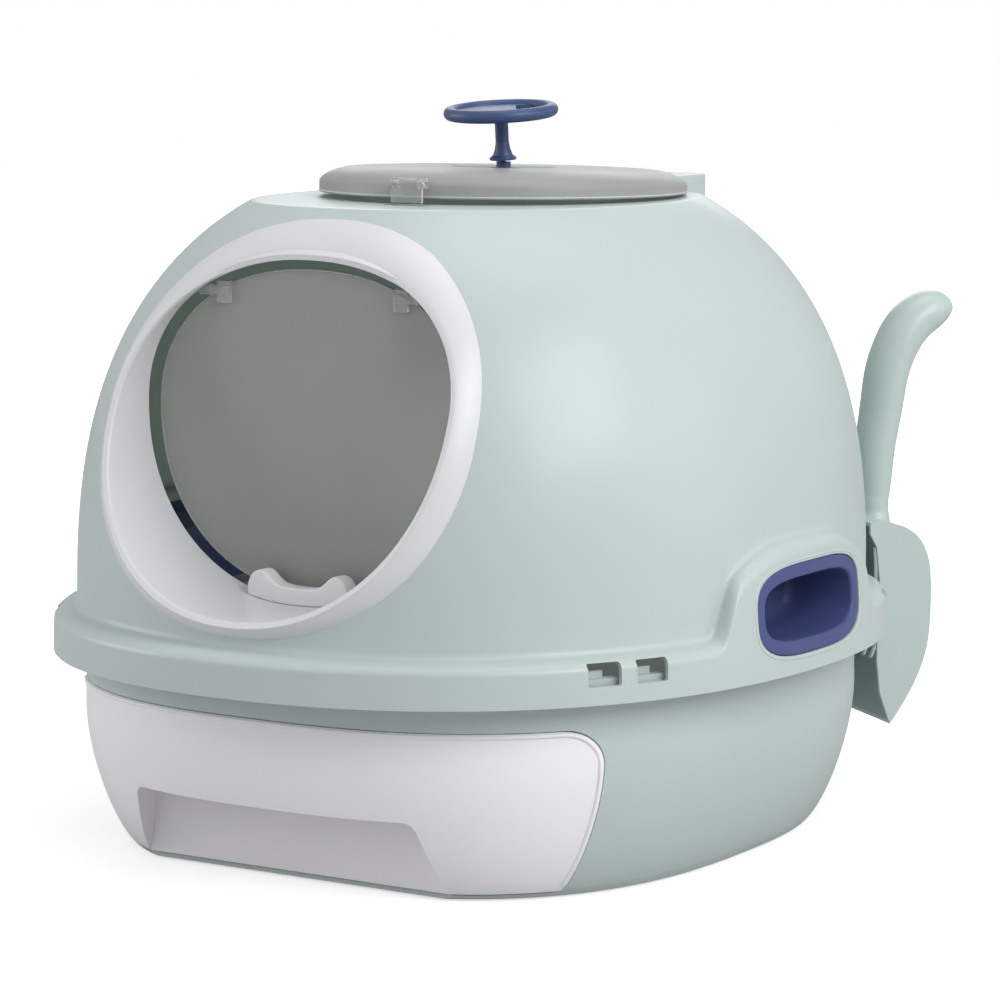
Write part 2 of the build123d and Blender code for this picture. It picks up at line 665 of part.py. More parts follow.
def skylight_lid():
    """Smoked round lid with two hinge arms and a lug for the clip."""
    dish = revolve(lid_profile(), Axis.Z)
    lid = lid_frame() * (dish - Cylinder(KNOB_SHANK_RADIUS + KNOB_SHANK_GAP, 80))
    for side in (-1, 1):
        x = side * HINGE_ARM_X
        half = HINGE_ARM_WIDTH / 2
        arm = box(x - half, x + half, LID_Y + 98.8, HINGE_Y, HINGE_Z - 2.6, HINGE_Z + 2.2)
        knuckle = Pos(x, HINGE_Y, HINGE_Z) * Rot(0, 90, 0) * Cylinder(KNUCKLE_RADIUS, HINGE_ARM_WIDTH)
        bore = Pos(x, HINGE_Y, HINGE_Z) * Rot(0, 90, 0) * Cylinder(HINGE_PIN_RADIUS + 0.06, 40)
        lid = lid + arm + knuckle - bore
    lug = box(CLIP_X - 6, CLIP_X + 6, CLIP_AXIS_Y, LID_Y - LID_RADIUS + 3.5,
              CLIP_AXIS_Z - 2.6, CLIP_AXIS_Z + 1.2)
    lug += Pos(CLIP_X, CLIP_AXIS_Y, CLIP_AXIS_Z) * Rot(0, 90, 0) * Cylinder(2.6, 12)
    return lid + lug - clip_bore(0.05)


def clip_bore(gap):
    """Cylinder round the clip's axis."""
    place = Pos(CLIP_X, CLIP_AXIS_Y, CLIP_AXIS_Z) * Rot(0, 90, 0)
    return place * Cylinder(CLIP_PIN_RADIUS + gap, 60)


def lid_clip():
    """Clear clip on the front of the lid: a plate with two cheeks and a foot."""
    half = CLIP_WIDTH / 2
    front = CLIP_AXIS_Y - 4.9
    clip = box(CLIP_X - half, CLIP_X + half, front, front + CLIP_PLATE, CLIP_AXIS_Z - 10.8, CLIP_AXIS_Z + 3.4)
    for side in (-1, 1):
        x0 = CLIP_X + side * (half - CLIP_CHEEK)
        x1 = CLIP_X + side * half
        clip += box(x0, x1, front, CLIP_AXIS_Y + 1.6, CLIP_AXIS_Z - 2.8, CLIP_AXIS_Z + 2.8)
    return clip - clip_bore(0.02)


def clip_pin():
    """Pin on which the clip turns."""
    place = Pos(CLIP_X, CLIP_AXIS_Y, CLIP_AXIS_Z) * Rot(0, 90, 0)
    return place * Cylinder(CLIP_PIN_RADIUS, CLIP_WIDTH - 0.6)


def knob_frame():
    """Place of the knob's foot, which leans to the front."""
    return Pos(0, LID_Y, LID_Z + LID_RIM + LID_RISE + KNOB_LIFT) * Rot(KNOB_LEAN, 0, 0)


def knob_disc():
    """Flat blue disc in its seat on the lid, with a short neck."""
    low = (Align.CENTER, Align.CENTER, Align.MIN)
    disc = Cylinder(KNOB_DISC_RADIUS, KNOB_DISC_HEIGHT, align=low)
    disc += Cylinder(KNOB_NECK_RADIUS, KNOB_DISC_HEIGHT + KNOB_LIFT + 0.4, align=low)
    disc -= Cylinder(KNOB_SHANK_RADIUS + KNOB_SHANK_GAP, 20)
    return lid_frame() * Pos(0, 0, LID_RIM + LID_RISE - KNOB_DISC_HEIGHT + 0.05) * disc


def ring_knob():
    """Ring grip with a web, on a stem that flares at its foot and has a threaded shank."""
    points = [
        (0, -KNOB_SHANK_LENGTH), (KNOB_SHANK_RADIUS, -KNOB_SHANK_LENGTH), (KNOB_SHANK_RADIUS, 1.2),
        (7.8, 1.6), (7.8, 2.8), (5.8, 4.4),
        (4.6, 7.6), (KNOB_STEM_RADIUS, 12), (KNOB_STEM_RADIUS, KNOB_RING_RISE), (0, KNOB_RING_RISE)]
    stem = revolve(make_face(Polyline(*[(x, 0, z) for x, z in points], close=True)), Axis.Z)
    ring = Pos(0, 0, KNOB_RING_RISE) * Torus(KNOB_RING_RADIUS, KNOB_TUBE_RADIUS)
    web = Pos(0, 0, KNOB_RING_RISE) * Cylinder(KNOB_RING_RADIUS - 1, KNOB_WEB)
    hole = Pos(0, 0, KNOB_RING_RISE) * Rot(0, 0, 33) * (Pos(17, 0, 0) * Box(16, 36, 8))
    hole = hole & Pos(0, 0, KNOB_RING_RISE) * Cylinder(KNOB_RING_RADIUS - KNOB_TUBE_RADIUS, 8)
    return knob_frame() * (stem + (web - hole) + ring)


def knob_nut():
    """Nut that holds the knob from under the lid."""
    nut = extrude(RegularPolygon(KNOB_NUT_RADIUS, 6), amount=KNOB_NUT_HEIGHT) - Cylinder(KNOB_SHANK_RADIUS + 0.05, 20)
    return knob_frame() * Pos(0, 0, 1.4 - KNOB_SHANK_LENGTH) * nut


def scoop_plane():
    """Upright frame of the scoop: X outward from the box, Y along the band, Z up."""
    angle = math.radians(SCOOP_AZIMUTH)
    return Plane((SCOOP_X, SCOOP_Y, 0), x_dir=(math.cos(angle), math.sin(angle), 0), z_dir=(0, 0, 1))


def bowl_outer_points(inset):
    """Side view of the scoop's bowl from its top wall down to the digging edge."""
    outer = [(-29, 166.8), (-14, 166), (1, 159), (8.6, 148), (11.8, 130), (11.8, 110), (9.8, 90), (4.6, 74),
             (-4, 58), (-14.5, 43)]
    moved = []
    for index, (x, z) in enumerate(outer):
        before = outer[max(index - 1, 0)]
        after = outer[min(index + 1, len(outer) - 1)]
        dx = after[0] - before[0]
        dz = after[1] - before[1]
        length = math.hypot(dx, dz)
        moved.append((x + dz / length * inset, z - dx / length * inset))
    return moved


def bowl_form(inset, half_width, edge):
    """Extruded side view of the bowl, closed towards the box by the given points."""
    outer = bowl_outer_points(inset)
    curve = Spline(*[(x, 0, z) for x, z in outer])
    closing = Polyline(*[(x, 0, z) for x, z in [outer[-1], *edge, outer[0]]])
    face = make_face(Wire([*curve.edges(), *closing.edges()]))
    return Pos(0, -half_width, 0) * extrude(face, amount=2 * half_width, dir=(0, 1, 0))


def scoop_handle():
    """Curved handle, a chain of ellipses along its middle line."""
    rows = [
        (-9, 160, 9.0, 12), (-9, 176, 10.0, 12.5), (-8, 193, 11.4, 13.5), (-5.2, 220, 12.2, 15),
        (-2.2, 239, 12.6, 16), (0.2, 253, 12.8, 16.4), (4.4, 265.4, 13.0, 16.6), (10.9, 277.4, 13.4, 16.6),
        (18.5, 285.5, 13.4, 16.2), (26, 290, 12.8, 15.6), (33, 292.2, 11.0, 14), (37.8, 292.6, 8.0, 11.5),
        (40.8, 292.7, 3.0, 6)]
    wires = []
    for index, (x, z, deep, wide) in enumerate(rows):
        before = rows[max(index - 1, 0)]
        after = rows[min(index + 1, len(rows) - 1)]
        tangent = Vector(after[0] - before[0], 0, after[1] - before[1]).normalized()
        plane = Plane((x, 0, z), x_dir=(0, 1, 0), z_dir=tangent)
        wires.append(plane * Wire([Edge.make_ellipse(wide, deep)]))
    return Solid.make_loft(wires)


def scoop():
    """Slotted scoop with deep side walls, a curved handle and a hook for the band."""
    edge = [(-21.4, 62), (-23.6, 82), (-23.6, 108), (-22.4, 132), (-24.6, 152), (-29, 160)]
    bowl = bowl_form(0, SCOOP_HALF_WIDTH, edge)
    far = [(-60, 43), (-60, 164.6)]
    bowl -= bowl_form(SCOOP_WALL, SCOOP_HALF_WIDTH - SCOOP_WALL, far)
    for y in steps(-31.5, 31.5, SCOOP_SLOTS):
        bowl -= box(0, 20, y - SCOOP_SLOT_HALF, y + SCOOP_SLOT_HALF, 72, 140)
    half = SCOOP_HOOK_HALF
    hook = box(-29.5, -26.5, -half, half, 132.0, 166.6) + box(-29.5, -8, -half, half, 163.2, 166.4)
    handle = scoop_handle() - box(-60, 60, -60, 60, 100, 164.8)
    return scoop_plane() * (bowl + handle + hook)


def save(name, shape):
    """Write one sub-part to its STEP file."""
    export_step(shape, f"parts/{name}.step")


ring = entrance_ring()
save("base_tub", base_tub())
save("base_feet", base_feet())
save("drawer_front", drawer_front())
save("drawer_tray", drawer_tray())
save("dome_cover", dome_cover())
save("entrance_ring", ring)
save("door_stop", door_stop())
save("handle_insert_right", handle_insert(1))
save("handle_insert_left", handle_insert(-1))
save("lid_hinge_pin_right", lid_hinge_pin(1))
save("lid_hinge_pin_left", lid_hinge_pin(-1))
save("door_flap", door_flap())
save("door_pivot_right", door_pivot(1))
save("door_pivot_left", door_pivot(-1))
save("skylight_lid", skylight_lid())
save("knob_disc", knob_disc())
save("ring_knob", ring_knob())
save("knob_nut", knob_nut())
save("lid_clip", lid_clip())
save("clip_pin", clip_pin())
save("scoop", scoop())
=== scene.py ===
"""Covered litter box with a drawer base, a smoked swing door and a skylight lid.

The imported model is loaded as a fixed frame. Its nodes get their finishes here, and the
softer forms and small details are modelled around it, in the same frame. Sizes of pieces
are in millimetres, and those of the studio are in metres.
"""

import logging
import math
from collections.abc import Callable, Sequence
from dataclasses import dataclass, field
from enum import Enum

import bpy
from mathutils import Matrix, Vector

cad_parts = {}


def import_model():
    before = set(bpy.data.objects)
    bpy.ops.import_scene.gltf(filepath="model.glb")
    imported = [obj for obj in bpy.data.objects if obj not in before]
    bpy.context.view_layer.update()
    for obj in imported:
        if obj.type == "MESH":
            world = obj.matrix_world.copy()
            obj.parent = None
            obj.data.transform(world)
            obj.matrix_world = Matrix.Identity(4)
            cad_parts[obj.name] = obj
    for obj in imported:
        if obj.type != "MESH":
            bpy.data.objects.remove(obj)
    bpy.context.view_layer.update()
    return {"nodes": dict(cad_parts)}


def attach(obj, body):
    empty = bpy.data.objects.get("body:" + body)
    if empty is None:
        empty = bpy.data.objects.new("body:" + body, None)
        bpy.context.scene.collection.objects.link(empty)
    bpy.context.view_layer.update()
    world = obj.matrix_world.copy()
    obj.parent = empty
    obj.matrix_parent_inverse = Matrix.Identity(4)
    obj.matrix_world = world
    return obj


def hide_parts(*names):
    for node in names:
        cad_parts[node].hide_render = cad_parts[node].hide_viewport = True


LOG = logging.getLogger("litter_box")
MM = 0.001
MERGE_REACH = 0.00002
GRAIN_DEPTH = 0.0004
PATTERN_RANGE = (0.3, 0.7)
WHITE = (1.0, 1.0, 1.0, 1.0)
SHARP_EDGE = math.radians(50.0)
BAR_COLUMNS = 10

LID_Y = 28.9
LID_HINGE = (147.5, 371.0)
LID_HINGE_X = 38.0
CLIP_HINGE = (-81.4, 378.6)

Pair = tuple[float, float]
Triple = tuple[float, float, float]
Skin = Callable[[float, float], Vector]


def linear(channel: float) -> float:
    """Turn one sRGB value of 0 to 255 into linear light.

    Args:
        channel: The value as it is seen on a screen.

    Returns:
        The same value in linear light, from 0 to 1.
    """
    share = channel / 255.0
    if share <= 0.04045:
        return share / 12.92
    return ((share + 0.055) / 1.055) ** 2.4


class Tint(Enum):
    """Colours of the box's plastics, as sRGB values."""

    MINT = (190, 203, 201)
    MINT_BASE = (189, 202, 201)
    MINT_SCOOP = (186, 202, 199)
    WHITE_DRAWER = (246, 244, 248)
    WHITE_RING = (221, 221, 224)
    WHITE_STOP = (238, 238, 241)
    WHITE_TRAY = (214, 216, 218)
    BLUE_GRIP = (70, 82, 132)
    BLUE_KNOB = (62, 82, 124)
    SMOKE_DOOR = (180, 184, 180)
    SMOKE_LID = (184, 187, 185)
    # Own colour of the clear fittings, and also the colour of the painted highlight ring on the lid's lower
    # edge.
    CLEAR = (236, 238, 238)
    RUBBER = (52, 53, 56)

    def rgba(self, scale: float = 1.0) -> tuple[float, float, float, float]:
        """Give the colour in linear light, brightened or darkened by scale."""
        red, green, blue = (min(1.0, linear(value) * scale) for value in self.value)
        return (red, green, blue, 1.0)


class NodeBench:
    """Small helper that lays out the nodes of one tree."""

    def __init__(self, tree: bpy.types.NodeTree) -> None:
        """Start with an empty tree."""
        self.tree = tree
        self.tree.nodes.clear()

    def add(self, kind: str, values: dict[str, object] | None = None) -> bpy.types.Node:
        """Add one node.

        Args:
            kind: Type of the node.
            values: Values for some of its inputs, by name.

        Returns:
            The new node.
        """
        node = self.tree.nodes.new(kind)
        for socket, value in (values or {}).items():
            node.inputs[socket].default_value = value
        return node

    def join(self, source: bpy.types.Node, out: str, target: bpy.types.Node, into: str | int) -> None:
        """Link one output of a node to an input of another."""
        self.tree.links.new(source.outputs[out], target.inputs[into])


class PlasticBench(NodeBench):
    """Node layout of one plastic finish."""

    def __init__(self, name: str) -> None:
        """Start a material called name with its main shader.

        Args:
            name: Name of the material.
        """
        self.material = bpy.data.materials.new(name)
        self.material.use_nodes = True
        super().__init__(self.material.node_tree)
        self.shader = self.add("ShaderNodeBsdfPrincipled")
        self.join(self.shader, "BSDF", self.add("ShaderNodeOutputMaterial"), "Surface")

    def noise(self, scale: float, detail: float, stretch: Triple = (1.0, 1.0, 1.0)) -> bpy.types.Node:
        """Add a noise pattern on object coordinates.

        Args:
            scale: Number of pattern cells per metre.
            detail: Number of finer octaves.
            stretch: Scale of the pattern along each axis.

        Returns:
            The noise texture node.
        """
        place = self.add("ShaderNodeTexCoord")
        mapping = self.add("ShaderNodeMapping", {"Scale": stretch})
        texture = self.add("ShaderNodeTexNoise", {"Scale": scale, "Detail": detail})
        self.join(place, "Object", mapping, "Vector")
        self.join(mapping, "Vector", texture, "Vector")
        return texture

    def colour(self, pattern: bpy.types.Node, tint: Tint, depth: float) -> None:
        """Let a pattern darken and lighten the tint by depth.

        Args:
            pattern: Node that gives the pattern.
            tint: The colour.
            depth: Share of the change.
        """
        mix = self.add("ShaderNodeMix")
        mix.data_type = "RGBA"
        mix.inputs["A"].default_value = tint.rgba(1.0 - depth)
        mix.inputs["B"].default_value = tint.rgba(1.0 + depth)
        self.join(pattern, "Fac", mix, "Factor")
        self.join(mix, "Result", self.shader, "Base Color")

    def gloss(self, pattern: bpy.types.Node, roughness: float, play: float) -> None:
        """Let a pattern move the roughness up and down by play.

        Args:
            pattern: Node that gives the pattern.
            roughness: The middle roughness.
            play: Change up and down.
        """
        low, high = PATTERN_RANGE
        span = self.add("ShaderNodeMapRange", {
            "From Min": low, "From Max": high, "To Min": roughness - play, "To Max": roughness + play})
        self.join(pattern, "Fac", span, "Value")
        self.join(span, "Result", self.shader, "Roughness")

    def grain(self, scale: float, strength: float) -> None:
        """Raise a fine grain on the surface.

        Args:
            scale: Number of grains per metre.
            strength: Strength of the relief.
        """
        bump = self.add("ShaderNodeBump", {"Strength": strength, "Distance": GRAIN_DEPTH})
        self.join(self.noise(scale, detail=2.0), "Fac", bump, "Height")
        self.join(bump, "Normal", self.shader, "Normal")

    def settle(self, values: dict[str, float]) -> bpy.types.Material:
        """Set the values that are the same all over and give the material.

        Args:
            values: Values of the main shader's inputs, by name.

        Returns:
            The finished material.
        """
        for socket, value in values.items():
            self.shader.inputs[socket].default_value = value
        return self.material


@dataclass(frozen=True)
class MouldedPlastic:
    """Opaque moulded plastic with faint mottling, a fine grain and a soft gloss."""

    name: str
    tint: Tint
    roughness: float = 0.36
    mottling: float = 0.02
    grain: float = 0.05
    coat: float = 0.0
    cloud_scale: float = 9.0
    patch_scale: float = 45.0
    grain_scale: float = 1400.0

    def make(self) -> bpy.types.Material:
        """Build the node material and return it.

        Returns:
            The finished material.
        """
        bench = PlasticBench(self.name)
        bench.colour(bench.noise(self.cloud_scale, detail=3.0), self.tint, self.mottling)
        bench.gloss(bench.noise(self.patch_scale, detail=2.0), self.roughness, play=0.03)
        bench.grain(self.grain_scale, self.grain)
        return bench.settle({"IOR": 1.47, "Coat Weight": self.coat, "Coat Roughness": 0.15})


@dataclass(frozen=True)
class SmokedPlastic:
    """See-through plastic with a smoke tint, a frosted grain and flow lines."""

    name: str
    tint: Tint
    roughness: float = 0.3
    clearness: float = 0.85
    streaks: float = 0.05
    stretch: Triple = (1.0, 1.0, 1.0)
    flow_scale: float = 12.0
    frost: float = 0.06
    frost_scale: float = 900.0

    def make(self) -> bpy.types.Material:
        """Build the node material and return it.

        Returns:
            The finished material.
        """
        bench = PlasticBench(self.name)
        flow = bench.noise(self.flow_scale, detail=4.0, stretch=self.stretch)
        bench.colour(flow, self.tint, self.streaks)
        bench.gloss(flow, self.roughness, play=0.05)
        bench.grain(self.frost_scale, self.frost)
        return bench.settle({"Transmission Weight": self.clearness, "IOR": 1.3})


class FinishKit:
    """All finishes of the box, each made once."""

    def __init__(self) -> None:
        """Build every material."""
        recipes = (
            MouldedPlastic("mint_dome", Tint.MINT, roughness=0.38, coat=0.08),
            MouldedPlastic("mint_base", Tint.MINT_BASE, roughness=0.4),
            MouldedPlastic("mint_scoop", Tint.MINT_SCOOP, roughness=0.36, coat=0.1),
            MouldedPlastic("white_drawer", Tint.WHITE_DRAWER, roughness=0.4),
            MouldedPlastic("white_ring", Tint.WHITE_RING, roughness=0.34, coat=0.05, mottling=0.01),
            MouldedPlastic("white_stop", Tint.WHITE_STOP, roughness=0.32),
            MouldedPlastic("white_tray", Tint.WHITE_TRAY, roughness=0.45, grain=0.09),
            MouldedPlastic("blue_grip", Tint.BLUE_GRIP, roughness=0.45, grain=0.09),
            MouldedPlastic("blue_knob", Tint.BLUE_KNOB, roughness=0.4, grain=0.07),
            MouldedPlastic("rubber_feet", Tint.RUBBER, roughness=0.7, grain=0.15),
            SmokedPlastic("smoke_door", Tint.SMOKE_DOOR, roughness=0.38, clearness=0.34),
            SmokedPlastic("smoke_lid", Tint.SMOKE_LID, roughness=0.4, clearness=0.35, streaks=0.08,
                          stretch=(0.6, 2.4, 1.0)),
            # Pale, mostly opaque finish of the ring that paints the highlight along the lid's lower edge.
            SmokedPlastic("painted_edge_highlight", Tint.CLEAR, roughness=0.3, clearness=0.25),
            SmokedPlastic("clear_fitting", Tint.CLEAR, roughness=0.12, clearness=0.8),
        )
        self.made = {recipe.name: recipe.make() for recipe in recipes}

    def dress(self, piece: bpy.types.Object, finish: str) -> None:
        """Give a piece one finish all over and report it.

        Args:
            piece: The mesh object.
            finish: Name of the finish in this kit.
        """
        piece.data.materials.clear()
        piece.data.materials.append(self.made[finish])
        LOG.info("piece %s wears %s", piece.name, finish)

    def fit(self, piece: bpy.types.Object, finish: str, body: str, slot: str, *nodes: str) -> None:
        """Dress a new piece and give it its place in the assembly.

        Args:
            piece: The finished mesh object.
            finish: Name of the finish in this kit.
            body: The moving body that it rides on.
            slot: Its material slot in the record; not used.
            nodes: CAD nodes that it stands for.
        """
        self.dress(piece, finish)
        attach(piece, body)
        if nodes:
            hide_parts(*nodes)


@dataclass
class CarriedNodes:
    """CAD nodes of the frame, by the finish that they wear."""

    wearers: dict[str, tuple[str, ...]] = field(default_factory=lambda: {
        "mint_base": ("base_tub",),
        "rubber_feet": ("base_feet",),
        "white_drawer": ("drawer_front",),
        "white_tray": ("drawer_tray",),
        "mint_dome": ("dome_cover",),
        "white_ring": ("entrance_ring",),
        "white_stop": ("door_stop",),
        "blue_grip": ("handle_insert_left", "handle_insert_right"),
        "smoke_door": ("door_flap",),
        "smoke_lid": ("skylight_lid",),
        "blue_knob": ("ring_knob", "knob_disc", "knob_nut"),
        "clear_fitting": ("lid_hinge_pin_left", "lid_hinge_pin_right", "door_pivot_left", "door_pivot_right",
                          "clip_pin", "lid_clip"),
        "mint_scoop": ("scoop",),
    })

    def dress(self, nodes: dict[str, bpy.types.Object], kit: FinishKit) -> None:
        """Dress every CAD node of the frame.

        Args:
            nodes: The frame's nodes, by name.
            kit: The finishes.
        """
        for finish, names in self.wearers.items():
            for name in names:
                kit.dress(nodes[name], finish)


def oval_radius(half_x: float, half_y: float, power: float, angle: float) -> float:
    """Give the distance from the middle to a superellipse in one direction.

    Args:
        half_x: Reach along X.
        half_y: Reach along Y.
        power: 2 for an ellipse, more for a squarer outline.
        angle: Direction in radians.

    Returns:
        The radius in the same unit as the reaches.
    """
    across = abs(math.cos(angle) / half_x) ** power
    along = abs(math.sin(angle) / half_y) ** power
    return (across + along) ** (-1.0 / power)


def glide(rows: Sequence[Pair], at: float) -> float:
    """Read a smooth curve through a few rows of (place, value).

    Args:
        rows: The points of the curve, in order of place.
        at: The place to read.

    Returns:
        The curve's value there, held level beyond its ends.
    """
    if at <= rows[0][0]:
        return rows[0][1]
    if at >= rows[-1][0]:
        return rows[-1][1]
    index = max(i for i in range(len(rows) - 1) if rows[i][0] <= at)
    (x0, y0), (x1, y1) = rows[index], rows[index + 1]

    def slope(i: int) -> float:
        """Slope of the curve at one of its points.

        Args:
            i: Index of the point.

        Returns:
            The slope.
        """
        before = rows[max(i - 1, 0)]
        after = rows[min(i + 1, len(rows) - 1)]
        return (after[1] - before[1]) / (after[0] - before[0])

    step = x1 - x0
    t = (at - x0) / step
    start = (1 + 2 * t) * (1 - t) ** 2 * y0 + t * (1 - t) ** 2 * step * slope(index)
    end = t * t * (3 - 2 * t) * y1 + t * t * (t - 1) * step * slope(index + 1)
    return start + end


def blend(low: float, high: float, share: float) -> float:
    """Give the value at a share of the way from low to high."""
    return low + (high - low) * share


def bend(part: float, power: float) -> float:
    """Raise the size of a sine or cosine to a power and keep its sign."""
    return math.copysign(abs(part) ** power, part)


def polar(radius: float, angle: float, y: float = 0.0, z: float = 0.0) -> Vector:
    """Point at a distance in a direction from (0, y), at height z."""
    return Vector((radius * math.cos(angle), y + radius * math.sin(angle), z))


def full_turn(count: int) -> list[float]:
    """Angles of even steps once round a circle."""
    return [2 * math.pi * step / count for step in range(count)]


def rectangle(low: Pair, high: Pair) -> list[Pair]:
    """Corners of a rectangle, anticlockwise from its low corner."""
    return [low, (high[0], low[1]), high, (low[0], high[1])]


def rounded_outline(length: float, height: float, corner: float, arc: int = 5) -> list[Pair]:
    """Rounded rectangle round the origin.

    Args:
        length: Size along its first axis.
        height: Size along its second axis.
        corner: Corner radius.
        arc: Points in each corner.

    Returns:
        The outline's points, anticlockwise.
    """
    points = []
    for quarter in range(4):
        across = (length / 2 - corner) * (1 if quarter in (0, 3) else -1)
        above = (height / 2 - corner) * (1 if quarter in (0, 1) else -1)
        for index in range(arc):
            angle = (quarter + index / (arc - 1)) * math.pi / 2
            points.append((across + corner * math.cos(angle), above + corner * math.sin(angle)))
    return points


def laid(outline: Sequence[Pair], z: float) -> list[Vector]:
    """Lay an outline of (x, y) flat at height z."""
    return [Vector((x, y, z)) for x, y in outline]


def stood(outline: Sequence[Pair], x: float) -> list[Vector]:
    """Stand an outline of (y, z) in the plane at x."""
    return [Vector((x, y, z)) for y, z in outline]


def circle(middle: Pair, radius: float, count: int = 40) -> list[Pair]:
    """Points of a circle, anticlockwise."""
    return [(middle[0] + radius * math.cos(turn), middle[1] + radius * math.sin(turn))
            for turn in full_turn(count)]


class Workbench:
    """Modelling moves that the pieces share."""

    @staticmethod
    def take(piece: bpy.types.Object) -> None:
        """Select one piece alone and make it active.

        Args:
            piece: The mesh object.
        """
        bpy.ops.object.select_all(action="DESELECT")
        piece.select_set(True)
        bpy.context.view_layer.objects.active = piece

    @staticmethod
    def merge(piece: bpy.types.Object, turn_out: bool) -> None:
        """Merge a piece's doubled vertices and, where asked, turn its faces outward.

        Args:
            piece: The mesh object.
            turn_out: Whether the faces are turned.
        """
        Workbench.take(piece)
        bpy.ops.object.mode_set(mode="EDIT")
        bpy.ops.mesh.select_all(action="SELECT")
        bpy.ops.mesh.remove_doubles(threshold=MERGE_REACH)
        if turn_out:
            bpy.ops.mesh.normals_make_consistent(inside=False)
        bpy.ops.object.mode_set(mode="OBJECT")

    @staticmethod
    def wrap(name: str, columns: int, rows: int, place: Skin) -> bpy.types.Object:
        """Add a grid and wrap it into a skin.

        Args:
            name: Name of the piece.
            columns: Faces round the skin.
            rows: Faces along the skin.
            place: Gives the place in millimetres for the shares round and along.

        Returns:
            The mesh object, with its seam merged.
        """
        bpy.ops.object.select_all(action="DESELECT")
        bpy.ops.mesh.primitive_grid_add(x_subdivisions=columns, y_subdivisions=rows, size=1.0)
        piece = bpy.context.active_object
        piece.name = name
        piece.data.name = name
        for vertex in piece.data.vertices:
            vertex.co = place(vertex.co.x + 0.5, vertex.co.y + 0.5) * MM
        Workbench.merge(piece, False)
        return piece

    @staticmethod
    def skin(name: str, columns: int, rows: int, place: Skin, crease: float) -> bpy.types.Object:
        """Wrap a closed skin and shade it smooth, with creases above an angle in degrees.

        Args:
            name: Name of the piece.
            columns: Faces round the skin.
            rows: Faces along the skin.
            place: Gives the place in millimetres for the shares round and along.
            crease: Angle in degrees above which an edge stays sharp.

        Returns:
            The closed mesh object.
        """
        piece = Workbench.wrap(name, columns, rows, place)
        Workbench.merge(piece, True)
        Workbench.soften(piece, crease)
        return piece

    @staticmethod
    def block(name: str, outline: Sequence[Vector], sweep: Vector) -> bpy.types.Object:
        """Add a filled outline and extrude it into a block.

        Args:
            name: Name of the piece.
            outline: Corner points in millimetres, in order.
            sweep: Direction and length of the extrusion in millimetres.

        Returns:
            The closed mesh object.
        """
        bpy.ops.object.select_all(action="DESELECT")
        bpy.ops.mesh.primitive_circle_add(vertices=len(outline), radius=1.0, fill_type="NGON")
        piece = bpy.context.active_object
        piece.name = name
        piece.data.name = name
        for vertex, point in zip(piece.data.vertices, outline):
            vertex.co = point * MM
        bpy.ops.object.mode_set(mode="EDIT")
        bpy.ops.mesh.select_all(action="SELECT")
        bpy.ops.mesh.extrude_region_move(TRANSFORM_OT_translate={"value": sweep * MM})
        bpy.ops.mesh.select_all(action="SELECT")
        bpy.ops.mesh.normals_make_consistent(inside=False)
        bpy.ops.object.mode_set(mode="OBJECT")
        return piece

    @staticmethod
    def tube(name: str, path: Sequence[Vector], radius: float, columns: int = 12) -> bpy.types.Object:
        """Add a thin round bar along a path, closed at both ends.

        Args:
            name: Name of the piece.
            path: Middle line in millimetres.
            radius: Radius of the bar.
            columns: Faces round the bar.

        Returns:
            The closed mesh object.
        """
        last = len(path) - 1

        def place(around: float, along: float) -> Vector:
            """Place of the bar's skin for the shares round and along.

            Args:
                around: Share of the way round.
                along: Share of the way along.

            Returns:
                The place in millimetres.
            """
            row = round(along * (last + 2)) - 1
            if row < 0 or row > last:
                return path[max(0, min(last, row))]
            tangent = (path[min(row + 1, last)] - path[max(row - 1, 0)]).normalized()
            outward = Vector((path[row].x, path[row].y, 0.0)).normalized()
            outward = (outward - tangent * outward.dot(tangent)).normalized()
            turn = 2 * math.pi * around
            return path[row] + (outward * math.cos(turn) + tangent.cross(outward) * math.sin(turn)) * radius

        return Workbench.skin(name, columns, last + 2, place, crease=60.0)

    @staticmethod
    def ring(name: str, loop: Callable[[float], Vector], middle: Vector, across: Vector, radius: float,
             steps: int = 180) -> bpy.types.Object:
        """Add a thin round bar along a closed loop.

        Args:
            name: Name of the piece.
            loop: Gives the bar's middle line in millimetres for a share of the way round.
            middle: The loop's middle.
            across: Direction that the loop faces.
            radius: Radius of the bar.
            steps: Faces along the loop.

        Returns:
            The closed mesh object.
        """

        def place(around: float, along: float) -> Vector:
            """Place of the bar's skin for the shares round and along.

            Args:
                around: Share of the way round.
                along: Share of the way along.

            Returns:
                The place in millimetres.
            """
            point = loop(along % 1.0)
            outward = point - middle
            outward = (outward - across * outward.dot(across)).normalized()
            turn = 2 * math.pi * around
            return point + (outward * math.cos(turn) + across * math.sin(turn)) * radius

        return Workbench.skin(name, BAR_COLUMNS, steps, place, crease=60.0)

    @staticmethod
    def apply(piece: bpy.types.Object, kind: str, **settings: object) -> None:
        """Add one modifier with its settings and apply it.

        Args:
            piece: The mesh object.
            kind: Type of the modifier.
            settings: Its settings, by name.
        """
        modifier = piece.modifiers.new(kind.lower(), kind)
        for key, value in settings.items():
            setattr(modifier, key, value)
        Workbench.take(piece)
        bpy.ops.object.modifier_apply(modifier=modifier.name)

    @staticmethod
    def round_edges(piece: bpy.types.Object, width: float, segments: int) -> None:
        """Round the sharp edges of a piece."""
        Workbench.apply(piece, "BEVEL", width=width * MM, segments=segments, limit_method="ANGLE",
                        angle_limit=SHARP_EDGE)

    @staticmethod
    def cut(piece: bpy.types.Object, *tools: bpy.types.Object) -> None:
        """Cut tool shapes out of a piece and throw the tools away.

        Args:
            piece: The mesh object.
            tools: The shapes to cut out.
        """
        for tool in tools:
            Workbench.apply(piece, "BOOLEAN", operation="DIFFERENCE", solver="EXACT", object=tool)
            mesh = tool.data
            bpy.data.objects.remove(tool, do_unlink=True)
            bpy.data.meshes.remove(mesh)

